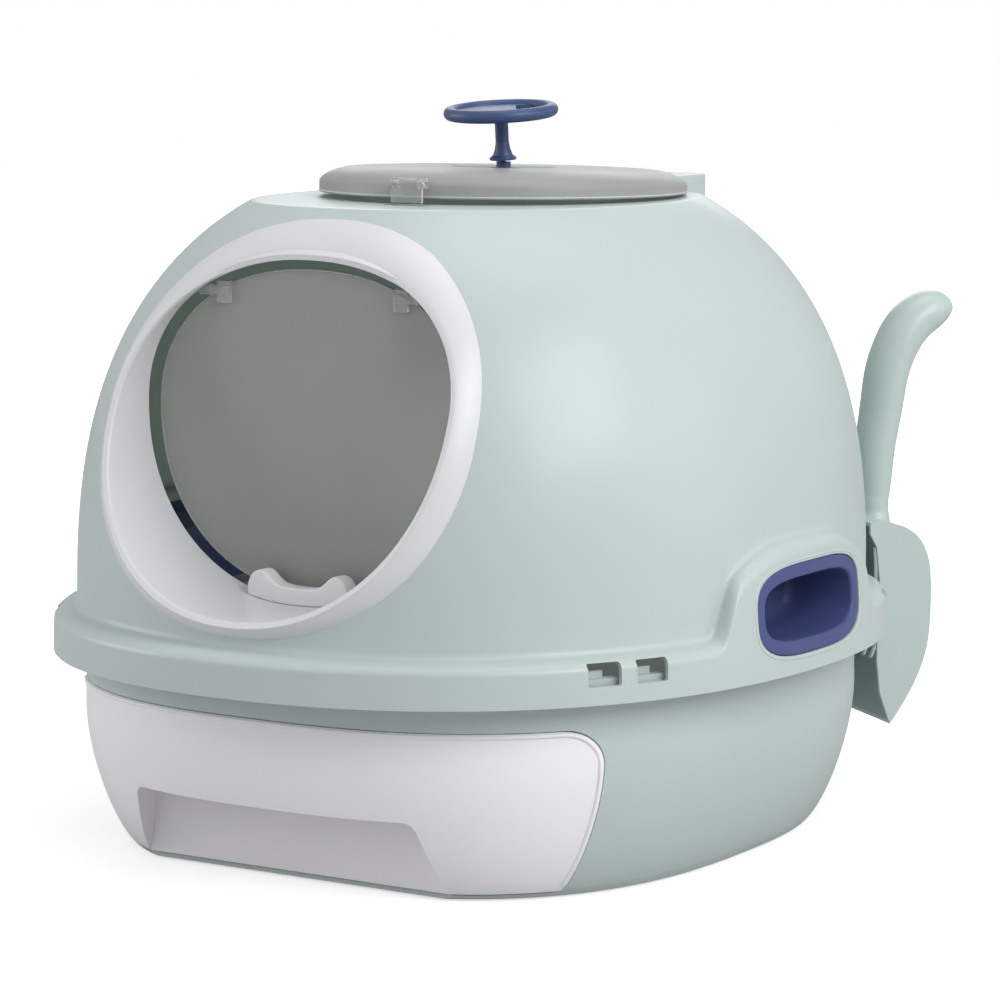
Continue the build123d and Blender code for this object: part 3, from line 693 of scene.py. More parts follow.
    @staticmethod
    def soften(piece: bpy.types.Object, degrees: float = 38.0) -> None:
        """Shade a piece smooth, with creases where its faces meet at more than an angle."""
        Workbench.take(piece)
        bpy.ops.object.shade_smooth_by_angle(angle=math.radians(degrees))


@dataclass
class BandForm:
    """Outer form of the dome's band and of the handle humps that rise from it."""

    half_x: float = 227.7
    half_y: float = 255.8
    power: float = 2.225
    bottom: float = 112.6
    ledge_top: float = 137.2
    shoulder: float = 6.7
    hump_shoulder: float = 9.6
    hump_y: float = -4.0
    hump_free_cos: float = 0.3
    leans: Sequence[Pair] = (
        (112.0, 0.3), (130.0, 0.9), (148.0, 2.1), (173.0, 3.8), (189.0, 5.4), (205.0, 8.0))
    crests: Sequence[Pair] = (
        (0.0, 186.5), (34.0, 185.0), (58.0, 178.5), (66.0, 174.5), (73.0, 169.5), (77.0, 162.0),
        (80.5, 152.5), (83.0, 146.0), (86.0, 140.5), (90.0, 138.0), (96.0, 137.2))

    def face(self, angle: float, z: float) -> Vector:
        """Point of the band's outer face in a direction, at height z."""
        lean = glide(self.leans, z)
        return polar(oval_radius(self.half_x - lean, self.half_y - lean, self.power, angle), angle, z=z)

    def side_x(self, y: float, z: float, inset: float) -> float:
        """Distance of a handle hump's +X face from the middle plane at (y, z), moved in by inset.

        Args:
            y: Place along Y.
            z: Height.
            inset: Distance inward from the face.

        Returns:
            The distance in millimetres.
        """
        lean = glide(self.leans, z) + inset
        share = abs(y) / (self.half_y - lean)
        return (self.half_x - lean) * (1 - share ** self.power) ** (1 / self.power)

    def top(self, angle: float) -> float:
        """Height at which the band or hump meets the dome's wall.

        Args:
            angle: Direction in radians.

        Returns:
            The height in millimetres.
        """
        if abs(math.cos(angle)) < self.hump_free_cos:
            return self.ledge_top
        return glide(self.crests, abs(self.face(angle, self.ledge_top).y - self.hump_y))

    def shoulder_at(self, meet: float) -> float:
        """Height of the rounded shoulder where the band meets the dome at height meet."""
        share = (meet - self.ledge_top) / (self.crests[0][1] - self.ledge_top)
        return blend(self.shoulder, self.hump_shoulder, share)


@dataclass
class DomeForm:
    """Outer form of the dome above its band."""

    half_x: float = 215.3
    half_y: float = 240.0
    power: float = 2.23
    widest: float = 142.0
    rise: float = 250.8
    profile: float = 2.5145
    top: float = 366.5
    top_shift: float = 3.0

    def wall(self, angle: float, z: float) -> Vector:
        """Point of the dome's wall in a direction, at height z.

        Args:
            angle: Direction in radians.
            z: Height.

        Returns:
            The place in millimetres.
        """
        share = min(1.0, abs(z - self.widest) / self.rise)
        scale = (1 - share ** self.profile) ** (1 / self.profile)
        shift = self.top_shift * max(0.0, z - self.widest) / (self.top - self.widest)
        radius = oval_radius(self.half_x * scale, self.half_y * scale, self.power, angle)
        return polar(radius, angle, shift, z)

    def height_at(self, x: float, y: float) -> float:
        """Height of the dome's skin over a place.

        Args:
            x: Place along X.
            y: Place along Y.

        Returns:
            The height in millimetres.
        """
        across = (abs(x) / self.half_x) ** self.power
        along = (abs(y - self.top_shift) / self.half_y) ** self.power
        scale = min(1.0, (across + along) ** (1 / self.power))
        share = (1 - scale ** self.profile) ** (1 / self.profile)
        return min(self.top, self.widest + self.rise * share)


@dataclass
class BaseForm:
    """Outer form of the base, which the drawer's front follows."""

    half_x: float = 201.4
    half_y: float = 224.7
    power: float = 2.617
    foot_scale: float = 0.8812
    curve_power: float = 1.4246
    curve_top: float = 72.1

    def scale(self, z: float) -> float:
        """Width at height z as a share of the full width.

        Args:
            z: Height.

        Returns:
            The share, up to 1.
        """
        left = max(0.0, 1 - z / self.curve_top)
        bulge = (1 - left ** self.curve_power) ** (1 / self.curve_power)
        return self.foot_scale + (1 - self.foot_scale) * bulge

    def side(self, y: float, z: float) -> Vector:
        """Point of the +X side at (y, z)."""
        share = abs(y) / (self.half_y * self.scale(z))
        return Vector((self.half_x * self.scale(z) * (1 - share ** self.power) ** (1 / self.power), y, z))


@dataclass
class EntranceForm:
    """Egg-shaped outline of the entrance and the crest plane of its collar."""

    middle_z: float = 257.0
    half_x: float = 108.8
    up: float = 83.6
    down: float = 105.0
    power: float = 2.15
    crest_y: float = -201.6
    tilt: float = math.radians(22.2)

    def loop(self, angle: float, grow: float, headroom: float = 0.0) -> Pair:
        """Give (x, z) of the outline, grown by a margin and in its upper half by headroom too.

        Args:
            angle: Direction in radians.
            grow: Margin all round.
            headroom: More reach upward.

        Returns:
            The point's x and z.
        """
        reach = (self.up + headroom if math.sin(angle) > 0 else self.down) + grow
        turn = 2.0 / self.power
        return (bend(math.cos(angle), turn) * (self.half_x + grow),
                self.middle_z + bend(math.sin(angle), turn) * reach)

    def crest(self, z: float) -> float:
        """Give y of the crest plane at height z."""
        return self.crest_y + (z - self.middle_z) * math.tan(self.tilt)

    def egg(self, angle: float, depth: float, half: float, up: float, down: float) -> Vector:
        """Point of an egg outline on the crest plane, moved inward by depth.

        Args:
            angle: Direction in radians.
            depth: Distance behind the crest plane.
            half: Half width.
            up: Reach upward.
            down: Reach downward.

        Returns:
            The place in millimetres.
        """
        turn = 2.0 / self.power
        along = bend(math.sin(angle), turn) * (up if math.sin(angle) > 0 else down)
        y = self.crest_y + along * math.sin(self.tilt) + depth * math.cos(self.tilt)
        z = self.middle_z + along * math.cos(self.tilt) - depth * math.sin(self.tilt)
        return Vector((bend(math.cos(angle), turn) * half, y, z))


@dataclass
class GripForm:
    """Squared oval outline of the side grips."""

    half_y: float = 58.5
    half_z: float = 25.2
    power: float = 3.38
    middle_y: float = -4.0
    middle_z: float = 148.0
    gap: float = 0.3

    def spot(self, angle: float, inward: float) -> Pair:
        """Give (y, z) on the outline, moved inward.

        Args:
            angle: Direction in radians.
            inward: Distance inward.

        Returns:
            The point's y and z.
        """
        half_z = max(self.half_z - inward, 1.0)
        radius = oval_radius(self.half_y - inward, half_z, self.power, angle)
        return (self.middle_y + radius * math.cos(angle), self.middle_z + radius * math.sin(angle))

    def opening(self, x: float, steps: int) -> list[Vector]:
        """Outline of the hole that the grip sits in, in the plane at x."""
        return stood([self.spot(angle, -self.gap) for angle in full_turn(steps)], x)


@dataclass
class DomeShell:
    """Moulded dome with its band, humps, slots and openings."""

    band: BandForm = field(default_factory=BandForm)
    dome: DomeForm = field(default_factory=DomeForm)
    entrance: EntranceForm = field(default_factory=EntranceForm)
    grip: GripForm = field(default_factory=GripForm)
    columns: int = 480
    face_rows: int = 14
    shoulder_rows: int = 7
    fillet_rows: int = 4
    wall_rows: int = 40
    top_rows: int = 6
    wall: float = 3.0
    shoulder_turn: float = math.radians(70.0)
    fillet_reach: float = 4.0
    opening_radius: float = 84.0
    opening_y: float = 12.0
    entrance_gap: float = 3.3
    entrance_headroom: float = 8.0
    slot_azimuth: float = math.radians(29.0)
    slot_middle: Triple = (189.1, 149.2, 128.6)
    slot_length: float = 19.5
    slot_height: float = 12.4
    slot_corner: float = 1.2
    slot_offset: float = 14.5
    slot_depth: float = 9.0
    slot_cut: float = 20.0
    notch: tuple[Pair, Pair] = ((-5.7, -91.5), (22.3, -77.0))
    notch_floor: float = 350.0
    notch_cut: float = 30.0
    entrance_cut: Pair = (-300.0, 180.0)
    grip_cut: Pair = (150.0, 100.0)
    outline_steps: int = 96

    def skin_point(self, around: float, along: float) -> Vector:
        """Place of the dome's outer skin for the shares round and up.

        Args:
            around: Share of the way round.
            along: Share of the way along.

        Returns:
            The place in millimetres.
        """
        angle = 2 * math.pi * around
        row = round(along * self.total_rows())
        meet = self.band.top(angle)
        height = self.band.shoulder_at(meet)
        if row <= self.face_rows:
            return self.band.face(angle, blend(self.band.bottom, meet - height, row / self.face_rows))
        row -= self.face_rows
        if row <= self.shoulder_rows:
            return self.shoulder_point(angle, meet, height, row / self.shoulder_rows)
        row -= self.shoulder_rows
        foot = meet + self.fillet_reach
        if row <= self.fillet_rows:
            start = self.shoulder_point(angle, meet, height, 1.0)
            corner = self.dome.wall(angle, start.z)
            share = row / self.fillet_rows
            return start.lerp(corner, share).lerp(corner.lerp(self.dome.wall(angle, foot), share), share)
        row -= self.fillet_rows
        if row <= self.wall_rows:
            share = math.sin(row / self.wall_rows * math.pi / 2)
            return self.dome.wall(angle, blend(foot, self.dome.top, share))
        row -= self.wall_rows
        rim = polar(self.opening_radius, angle, self.opening_y, self.dome.top)
        return self.dome.wall(angle, self.dome.top).lerp(rim, row / self.top_rows)

    def total_rows(self) -> int:
        """Number of faces from the band's foot to the top opening."""
        return self.face_rows + self.shoulder_rows + self.fillet_rows + self.wall_rows + self.top_rows

    def shoulder_point(self, angle: float, meet: float, height: float, share: float) -> Vector:
        """Place on the rounded shoulder, from the band's face to where its fillet starts.

        Args:
            angle: Direction in radians.
            meet: Height at which band and dome meet.
            height: Height of the shoulder.
            share: Share of the way over the shoulder.

        Returns:
            The place in millimetres.
        """
        turn = share * self.shoulder_turn
        point = self.dome.wall(angle, meet).lerp(self.band.face(angle, meet - height), math.cos(turn))
        point.z = meet - height + height * math.sin(turn)
        return point

    def slot_tools(self) -> list[bpy.types.Object]:
        """Blocks that cut the eight latch slots in the band.

        Returns:
            The cutting blocks.
        """
        outline = rounded_outline(self.slot_length, self.slot_height, self.slot_corner)
        middle_x, middle_y, middle_z = self.slot_middle
        tools = []
        for side in (1, -1):
            for end in (1, -1):
                outward = Vector((side * math.cos(self.slot_azimuth), end * math.sin(self.slot_azimuth), 0))
                along = Vector((-outward.y, outward.x, 0))
                for offset in (-self.slot_offset, self.slot_offset):
                    middle = Vector((side * middle_x, end * middle_y, middle_z)) + along * offset
                    start = middle - outward * self.slot_depth
                    corners = [start + along * x + Vector((0, 0, z)) for x, z in outline]
                    tools.append(Workbench.block("slot_tool", corners, outward * self.slot_cut))
        return tools

    def build(self, kit: FinishKit) -> None:
        """Model the shell and cut its openings.

        Args:
            kit: The finishes.
        """
        shell = Workbench.wrap("dome_shell", self.columns, self.total_rows(), self.skin_point)
        Workbench.apply(shell, "SOLIDIFY", thickness=self.wall * MM, offset=-1.0, use_even_offset=True)
        entrance = [self.entrance.loop(angle, self.entrance_gap, self.entrance_headroom)
                    for angle in full_turn(self.outline_steps)]
        start, length = self.entrance_cut
        loop = [Vector((x, start, z)) for x, z in entrance]
        Workbench.cut(shell, Workbench.block("entrance_tool", loop, Vector((0, length, 0))))
        start, length = self.grip_cut
        for side in (1, -1):
            outline = self.grip.opening(side * start, self.outline_steps)
            Workbench.cut(shell, Workbench.block("grip_tool", outline, Vector((side * length, 0, 0))))
        Workbench.cut(shell, *self.slot_tools())
        notch = laid(rectangle(*self.notch), self.notch_floor)
        Workbench.cut(shell, Workbench.block("clip_tool", notch, Vector((0, 0, self.notch_cut))))
        Workbench.soften(shell)
        kit.fit(shell, "mint_dome", "dome", "dome_shell", "dome_cover")


@dataclass
class HingeBlock:
    """Raised block behind the lid, with two slots for the lid's knuckles."""

    dome: DomeForm = field(default_factory=DomeForm)
    half_x: float = 65.0
    front_y: float = 96.0
    corner: Sequence[Pair] = ((65.0, 152.0), (62.5, 159.0), (56.0, 162.0))
    low: float = 352.0
    height: float = 23.5
    sink: float = 2.0
    edge: float = 1.6
    recess_radius: float = 109.8
    recess_floor: float = 366.6
    slot_half: float = 6.5
    slot_y: Pair = (110.0, 153.2)
    slot_floor: float = 365.9
    recess_steps: int = 128
    cut_height: float = 40.0

    def build(self, kit: FinishKit) -> None:
        """Model the block, seat its foot in the dome and cut its recess and slots.

        Args:
            kit: The finishes.
        """
        mirrored = [(-x, y) for x, y in reversed(self.corner)]
        outline = [(-self.half_x, self.front_y), (self.half_x, self.front_y), *self.corner, *mirrored]
        block = Workbench.block("hinge_block", laid(outline, self.low), Vector((0, 0, self.height)))
        for vertex in block.data.vertices:
            if vertex.co.z < (self.low + 1.0) * MM:
                skin = self.dome.height_at(vertex.co.x / MM, vertex.co.y / MM)
                vertex.co.z = (skin - self.sink) * MM
        Workbench.round_edges(block, self.edge, segments=3)
        recess = [polar(self.recess_radius, angle, LID_Y, self.recess_floor)
                  for angle in full_turn(self.recess_steps)]
        Workbench.cut(block, Workbench.block("recess_tool", recess, Vector((0, 0, self.cut_height))))
        front, back = self.slot_y
        for side in (-1, 1):
            x = side * LID_HINGE_X
            slot = rectangle((x - self.slot_half, front), (x + self.slot_half, back))
            slot = laid(slot, self.slot_floor)
            Workbench.cut(block, Workbench.block("knuckle_tool", slot, Vector((0, 0, self.cut_height))))
        Workbench.soften(block, degrees=30.0)
        kit.fit(block, "mint_dome", "dome", "dome_shell", "dome_cover")


@dataclass
class EntranceCollar:
    """White collar with a rounded crest and the tunnel behind it.

    Each egg is its depth behind the crest plane, its half width and its reach up and down.
    """

    form: EntranceForm = field(default_factory=EntranceForm)
    columns: int = 160
    back_y: float = -171.0
    bore_depth: float = 2.2
    bore_shares: Sequence[float] = (0.0, 0.04, 0.3, 0.6, 0.9, 1.0)
    lip: Sequence[Pair] = ((0.25, 1.0), (0.9, 0.25))
    crest_grow: float = 1.5
    front_egg: Sequence[float] = (0.1, 111.8, 96.8, 116.6)
    contact_egg: Sequence[float] = (12.5, 121.5, 118.0, 121.5)
    back_eggs: Sequence[Sequence[float]] = ((15.0, 120.8, 117.2, 120.9), (17.0, 117.0, 112.0, 117.0))
    face_shares: Sequence[float] = (0.08, 0.2, 0.35, 0.5, 0.65, 0.8, 0.92, 1.0)
    swell: float = 0.07
    swell_reach: Pair = (120.0, 140.0)
    swell_forward: float = 0.75
    wall: float = 3.0

    def bore(self, angle: float, grow: float, y: float) -> Vector:
        """Point on the tunnel's wall, grown by a margin."""
        x, z = self.form.loop(angle, grow)
        return Vector((x, y, z))

    def section(self, angle: float) -> list[Vector]:
        """Closed section of the collar at one place on the loop, from the tunnel's back end round.

        Args:
            angle: Direction in radians.

        Returns:
            The section's points in millimetres.
        """
        front_y = self.form.crest(self.form.loop(angle, 0.0)[1])
        bore_end = front_y + self.bore_depth
        points = [self.bore(angle, 0.0, blend(self.back_y, bore_end, share)) for share in self.bore_shares]
        points += [self.bore(angle, grow, front_y + depth) for grow, depth in self.lip]
        front = self.form.egg(angle, *self.front_egg)
        points += [self.bore(angle, self.crest_grow, front_y).lerp(front, 0.5), front]
        contact = self.form.egg(angle, *self.contact_egg)
        span = (contact - front).length
        across, above = self.swell_reach
        outward = Vector((front.x / across, -self.swell_forward, (front.z - self.form.middle_z) / above))
        for share in self.face_shares:
            swell = self.swell * span * 4 * share * (1 - share)
            points.append(front.lerp(contact, share) + outward.normalized() * swell)
        points += [self.form.egg(angle, *egg) for egg in self.back_eggs]
        return [*points, self.bore(angle, self.wall, self.back_y)]

    def build(self, kit: FinishKit) -> None:
        """Model the collar as one closed ring.

        Args:
            kit: The finishes.
        """
        rows = len(self.section(0.0))

        def place(around: float, along: float) -> Vector:
            """Place of the collar's skin for the shares round the loop and the section."""
            return self.section(-2 * math.pi * around)[round(along * rows) % rows]

        collar = Workbench.skin("entrance_collar", self.columns, rows, place, crease=50.0)
        kit.fit(collar, "white_ring", "dome", "ring", "entrance_ring")


@dataclass
class DoorStop:
    """Raised white stop on the tunnel's floor, with two round horns."""

    entrance: EntranceForm = field(default_factory=EntranceForm)
    front_y: float = -183.0
    depth: float = 11.0
    lift: float = 0.1
    edge: float = 1.5
    steps: int = 60
    crown: Sequence[Pair] = (
        (0.0, 161.6), (9.0, 162.1), (14.5, 163.4), (18.0, 165.8), (21.5, 168.8), (24.6, 170.1), (28.4, 169.2),
        (31.6, 166.2), (33.4, 161.5))

    def build(self, kit: FinishKit) -> None:
        """Model the stop with softened edges.

        Args:
            kit: The finishes.
        """
        reach = self.crown[-1][0]
        turns = [blend(-reach, reach, step / self.steps) for step in range(self.steps + 1)]
        outline = [Vector((x, self.front_y, glide(self.crown, abs(x)))) for x in turns]
        for x in reversed(turns):
            share = (abs(x) / self.entrance.half_x) ** self.entrance.power
            floor = self.entrance.middle_z - self.entrance.down * (1 - share) ** (1 / self.entrance.power)
            outline.append(Vector((x, self.front_y, floor + self.lift)))
        stop = Workbench.block("stop_horns", outline, Vector((0, self.depth, 0)))
        Workbench.round_edges(stop, self.edge, segments=4)
        Workbench.soften(stop, degrees=40.0)
        kit.fit(stop, "white_stop", "dome", "stop", "door_stop")


@dataclass
class DoorEdge:
    """Thin bright edge of the smoked door, where the light gathers in the sheet."""

    form: EntranceForm = field(default_factory=lambda: EntranceForm(
        middle_z=256.2, half_x=103.6, up=78.5, down=100.1, power=2.17))
    face_y: float = -165.8
    radius: float = 0.6

    def loop(self, share: float) -> Vector:
        """Place on the door's outline."""
        x, z = self.form.loop(2 * math.pi * share, 0.0)
        return Vector((x, self.face_y, z))

    def build(self, kit: FinishKit) -> None:
        """Model the edge as one closed ring.

        Args:
            kit: The finishes.
        """
        middle = Vector((0.0, self.face_y, self.form.middle_z))
        edge = Workbench.ring("door_edge", self.loop, middle, Vector((0, 1, 0)), self.radius)
        kit.fit(edge, "clear_fitting", "door", "smoked_door")


@dataclass
class DrawerLip:
    """Fine raised lip along the top and the sides of the drawer's front."""

    base: BaseForm = field(default_factory=BaseForm)
    top_z: float = 94.4
    edge_y: float = -147.8
    corner: float = 18.5
    low_z: float = 9.0
    radius: float = 1.3
    side_steps: int = 24
    corner_steps: int = 12
    front_steps: int = 80

    def path(self) -> list[Vector]:
        """Middle line of the lip from the low right end over the top to the low left end.

        Returns:
            The line's points in millimetres.
        """
        turn_z = self.top_z - self.corner
        right = [self.base.side(self.edge_y, blend(self.low_z, turn_z, step / self.side_steps))
                 for step in range(self.side_steps + 1)]
        for step in range(1, self.corner_steps + 1):
            turn = step / self.corner_steps * math.pi / 2
            y = self.edge_y - self.corner + self.corner * math.cos(turn)
            right.append(self.base.side(y, turn_z + self.corner * math.sin(turn)))
        end = math.atan2(right[-1].y, right[-1].x)
        front = []
        for step in range(1, self.front_steps):
            angle = blend(end, -math.pi - end, step / self.front_steps)
            reach = oval_radius(self.base.half_x, self.base.half_y, self.base.power, angle)
            front.append(polar(reach, angle, z=self.top_z))
        left = [Vector((-point.x, point.y, point.z)) for point in reversed(right)]
        return [*right, *front, *left]

    def build(self, kit: FinishKit) -> None:
        """Model the lip."""
        lip = Workbench.tube("drawer_lip", self.path(), self.radius)
        kit.fit(lip, "white_drawer", "drawer", "drawer_face")


@dataclass
class ScoopNeck:
    """Flare that leads the scoop's handle into the top of its bowl.

    Each row is a height, a half depth and a half width, from the handle down. The last
    row widens by the foot's sizes and sinks to the bowl's crown.
    """

    origin: Vector = field(default_factory=lambda: Vector((150.7, 229.9, 0.0)))
    azimuth: float = math.radians(52.0)
    middle: float = -9.0
    columns: int = 48
    rows: Sequence[Triple] = (
        (180.0, 9.8, 12.3), (177.0, 10.2, 12.7), (173.0, 10.0, 12.6), (169.5, 9.9, 12.7), (168.0, 10.2, 13.0))
    foot: Pair = (1.4, 1.6)
    foot_sink: float = 0.8
    closed_z: float = 163.0
    crown: Sequence[Pair] = ((-29.0, 166.8), (-14.0, 166.0), (1.0, 159.0), (8.6, 148.0))

    def build(self, kit: FinishKit) -> None:
        """Model the flare between handle and bowl.

        Args:
            kit: The finishes.
        """
        last = len(self.rows)

        def place(around: float, along: float) -> Vector:
            """Place of the flare's skin for the shares round and down.

            Args:
                around: Share of the way round.
                along: Share of the way along.

            Returns:
                The place in millimetres.
            """
            turn = 2 * math.pi * around
            row = round(along * (last + 2)) - 1
            if row < 0:
                return self.seated(self.middle, 0.0, self.rows[0][0])
            if row > last:
                return self.seated(self.middle, 0.0, self.closed_z)
            z, deep, wide = self.rows[min(row, last - 1)]
            if row == last:
                deep, wide = deep + self.foot[0], wide + self.foot[1]
            out = self.middle + deep * math.cos(turn)
            if row == last:
                z = glide(self.crown, out) - self.foot_sink
            return self.seated(out, wide * math.sin(turn), z)

        neck = Workbench.skin("scoop_neck", self.columns, last + 2, place, crease=60.0)
        kit.fit(neck, "mint_scoop", "scoop", "scoop_mint")

    def seated(self, out: float, along: float, z: float) -> Vector:
        """Turn a point of the scoop's own frame into the box's frame."""
        cos, sin = math.cos(self.azimuth), math.sin(self.azimuth)
        return self.origin + Vector((out * cos - along * sin, out * sin + along * cos, z))


@dataclass
class GripPocket:
    """Blue grip of one side: a flat rim with softened edges, a deep pocket and a mint bead round it.

    Rows of the rim are (inward, inset from the hump's face), and rows of the cup and its
    back are (inward, distance from the floor or from the back).
    """

    form: GripForm = field(default_factory=GripForm)
    band: BandForm = field(default_factory=BandForm)
    columns: int = 128
    floor_x: float = 180.5
    back_x: float = 178.0
    bead_gap: float = 1.8
    bead_seat: float = 0.6
    bead_radius: float = 1.0
    bead_x: float = 226.0
    rim: Sequence[Pair] = (
        (8.1, 3.0), (7.9, 1.7), (7.3, 0.9), (6.2, 0.5), (3.6, 0.4), (1.2, 0.4), (0.4, 0.6), (0.0, 1.2),
        (0.0, 3.3), (5.3, 3.3), (5.6, 5.0))
    cup: Sequence[Pair] = ((33.0, 0.0), (13.5, 0.1), (10.2, 1.4), (8.4, 4.6), (8.1, 11.5))
    back: Sequence[Pair] = ((5.6, 8.0), (6.6, 1.0), (11.0, 0.0), (33.0, 0.0))

    def on_hump(self, angle: float, inward: float, inset: float) -> Vector:
        """Point on the grip's outline, moved inward and inset from the hump's +X face."""
        y, z = self.form.spot(angle, inward)
        return Vector((self.band.side_x(y, z, inset), y, z))

    def section(self, angle: float) -> list[Vector]:
        """Section from the pocket's floor over the rim to the cup's back.

        Args:
            angle: Direction in radians.

        Returns:
            The section's points in millimetres.
        """
        pole = (self.form.middle_y, self.form.middle_z)
        cup = [Vector((self.floor_x + rise, *self.form.spot(angle, inward))) for inward, rise in self.cup]
        rim = [self.on_hump(angle, inward, inset) for inward, inset in self.rim]
        back = [Vector((self.back_x + rise, *self.form.spot(angle, inward))) for inward, rise in self.back]
        return [Vector((self.floor_x, *pole)), *cup, *rim, *back, Vector((self.back_x, *pole))]

    def build(self, kit: FinishKit, side: int, name: str) -> None:
        """Model the grip of one side.

        Args:
            kit: The finishes.
            side: 1 for the right side, -1 for the left.
            name: The CAD node that it stands for.
        """
        rows = len(self.section(0.0)) - 1
        mirror = Vector((side, 1, 1))

        def place(around: float, along: float) -> Vector:
            """Place of the grip's skin for the shares round and across."""
            return self.section(2 * math.pi * around)[round(along * rows)] * mirror

        def loop(share: float) -> Vector:
            """Place on the bead's middle line."""
            return self.on_hump(2 * math.pi * share, -self.bead_gap, self.bead_seat) * mirror

        grip_name = name.replace("handle_insert", "grip_pocket")
        grip = Workbench.skin(grip_name, self.columns, rows, place, crease=50.0)
        kit.fit(grip, "blue_grip", "dome", "handles", name)
        bead_name = name.replace("handle_insert", "grip_bead")
        middle = Vector((side * self.bead_x, self.form.middle_y, self.form.middle_z))
        bead = Workbench.ring(bead_name, loop, middle, Vector((1, 0, 0)), self.bead_radius)
        kit.fit(bead, "mint_dome", "dome", "dome_shell")


@dataclass
class SkylightLid:
    """Smoked lid with a rounded skirt, two hinge arms, the clip's lug and a pale ring on its lower edge that
    paints the highlight there.
    """

    radius: float = 107.6
    rim: float = 3.3
    rise: float = 9.5
    skirt: float = 21.6
    skirt_rise: float = 9.0
    skirt_bend: float = 1.18
    skirt_wall: Pair = (1.9, 1.7)
    flat: float = 75.0
    wall: float = 2.4
    seat: float = 30.3
    seat_depth: float = 1.4
    hole: float = 1.95
    chamfer: float = 0.4
    foot_z: float = 0.3
    seat_skin: float = 1.7
    rim_step: float = 1.0
    skirt_steps: int = 12
    middle: Vector = field(default_factory=lambda: Vector((0.0, LID_Y, 370.3)))
    tilt: float = math.radians(1.6)
    front_drop: float = 3.4
    edge_inset: float = 1.3
    edge_z: float = 1.2
    edge_radius: float = 1.4
    columns: int = 200
    arm: tuple[Pair, Pair] = ((128.2, 368.4), (144.0, 373.2))
    arm_width: float = 11.0
    knuckle_radius: float = 4.3
    knuckle_bore: float = 2.26
    bore_margin: float = 2.0
    lug_x: float = 2.3
    lug_width: float = 12.0
    lug_bore: float = 1.25
    lug_bore_span: Pair = (0.0, 17.0)
    lug_outline: Sequence[Pair] = (
        (-75.4, 376.2), (-75.4, 379.8), (-80.4, 381.0), (-82.9, 380.5), (-84.0, 378.6), (-82.9, 376.7),
        (-80.4, 376.0))

    def profile(self) -> list[Pair]:
        """Closed half section of the dish as (radius, height).

        Returns:
            The section's points.
        """
        top = self.rim + self.rise
        outer = [(self.radius, self.foot_z), (self.radius, self.rim)]
        for step in range(1, self.skirt_steps + 1):
            turn = step / self.skirt_steps * math.pi / 2
            out = max(math.cos(turn), 0.0) ** self.skirt_bend
            up = math.sin(turn) ** self.skirt_bend
            outer.append((self.radius - self.skirt + self.skirt * out, self.rim + self.skirt_rise * up))
        thin, low_wall = self.skirt_wall
        inner = [(radius - thin, height - low_wall) for radius, height in reversed(outer[2:-1])]
        low = top - self.seat_depth
        return [*outer, (self.flat, top), (self.seat + self.chamfer, top), (self.seat, top - self.chamfer),
                (self.seat, low), (self.hole, low), (self.hole, low - self.wall),
                (self.seat + self.seat_skin, low - self.wall), (self.flat, top - self.wall), *inner,
                (self.radius - self.wall, self.rim - self.rim_step), (self.radius - self.wall, 0.0),
                (self.radius - self.chamfer, 0.0)]

    def seated(self, radius: float, angle: float, z: float) -> Vector:
        """Turn a point of the dish into the lid's own place, which rises to the front.

        Args:
            radius: Distance from the dish's middle.
            angle: Direction in radians.
            z: Height over the dish's rim.

        Returns:
            The place in millimetres.
        """
        point = polar(radius, angle, z=z)
        across = point.y * math.cos(self.tilt) + z * math.sin(self.tilt)
        up = z * math.cos(self.tilt) - point.y * math.sin(self.tilt)
        return self.middle + Vector((point.x, across, up))

    def drop(self, angle: float) -> float:
        """How much deeper the skirt reaches in a direction: most in front, not at all behind."""
        return self.front_drop * (0.5 - 0.5 * math.sin(angle))

    def edge(self, share: float) -> Vector:
        """Place on the skirt's lower edge."""
        angle = 2 * math.pi * share
        return self.seated(self.radius - self.edge_inset, angle, self.edge_z - self.drop(angle))

    def fittings(self) -> list[bpy.types.Object]:
        """Model the two arms with their knuckles and the lug for the clip.

        Returns:
            The pieces.
        """
        made = []
        sweep = Vector((self.arm_width, 0, 0))
        for side, label in ((1, "right"), (-1, "left")):
            x = side * LID_HINGE_X - self.arm_width / 2
            made.append(Workbench.block(f"lid_arm_{label}", stood(rectangle(*self.arm), x), sweep))
            rim = stood(circle(LID_HINGE, self.knuckle_radius), x)
            knuckle = Workbench.block(f"lid_knuckle_{label}", rim, sweep)
            start = x - self.bore_margin
            length = self.arm_width + 2 * self.bore_margin
            made.append(self.bored(knuckle, LID_HINGE, self.knuckle_bore, start, length))
        outline = stood(self.lug_outline, self.lug_x)
        lug = Workbench.block("clip_lug", outline, Vector((self.lug_width, 0, 0)))
        return [*made, self.bored(lug, CLIP_HINGE, self.lug_bore, *self.lug_bore_span)]

    @staticmethod
    def bored(piece: bpy.types.Object, middle: Pair, radius: float, x: float,
              length: float) -> bpy.types.Object:
        """Bore a hole along X through a piece and give the piece.

        Args:
            piece: The mesh object.
            middle: The hole's y and z.
            radius: Its radius.
            x: Where it starts.
            length: Its length.

        Returns:
            The bored piece.
        """
        tool = Workbench.block("bore_tool", stood(circle(middle, radius), x), Vector((length, 0, 0)))
        Workbench.cut(piece, tool)
        return piece

    def build(self, kit: FinishKit) -> None:
        """Model the dish, its fittings and its lower edge.

        Args:
            kit: The finishes.
        """
        profile = self.profile()

        def place(around: float, along: float) -> Vector:
            """Place of the dish's skin for the shares round and along its section.

            Args:
                around: Share of the way round.
                along: Share of the way along.

            Returns:
                The place in millimetres.
            """
            radius, height = profile[round(along * len(profile)) % len(profile)]
            angle = 2 * math.pi * around
            if radius > self.radius - 2 * self.wall and height < self.rim:
                height -= self.drop(angle)
            return self.seated(radius, angle, height)

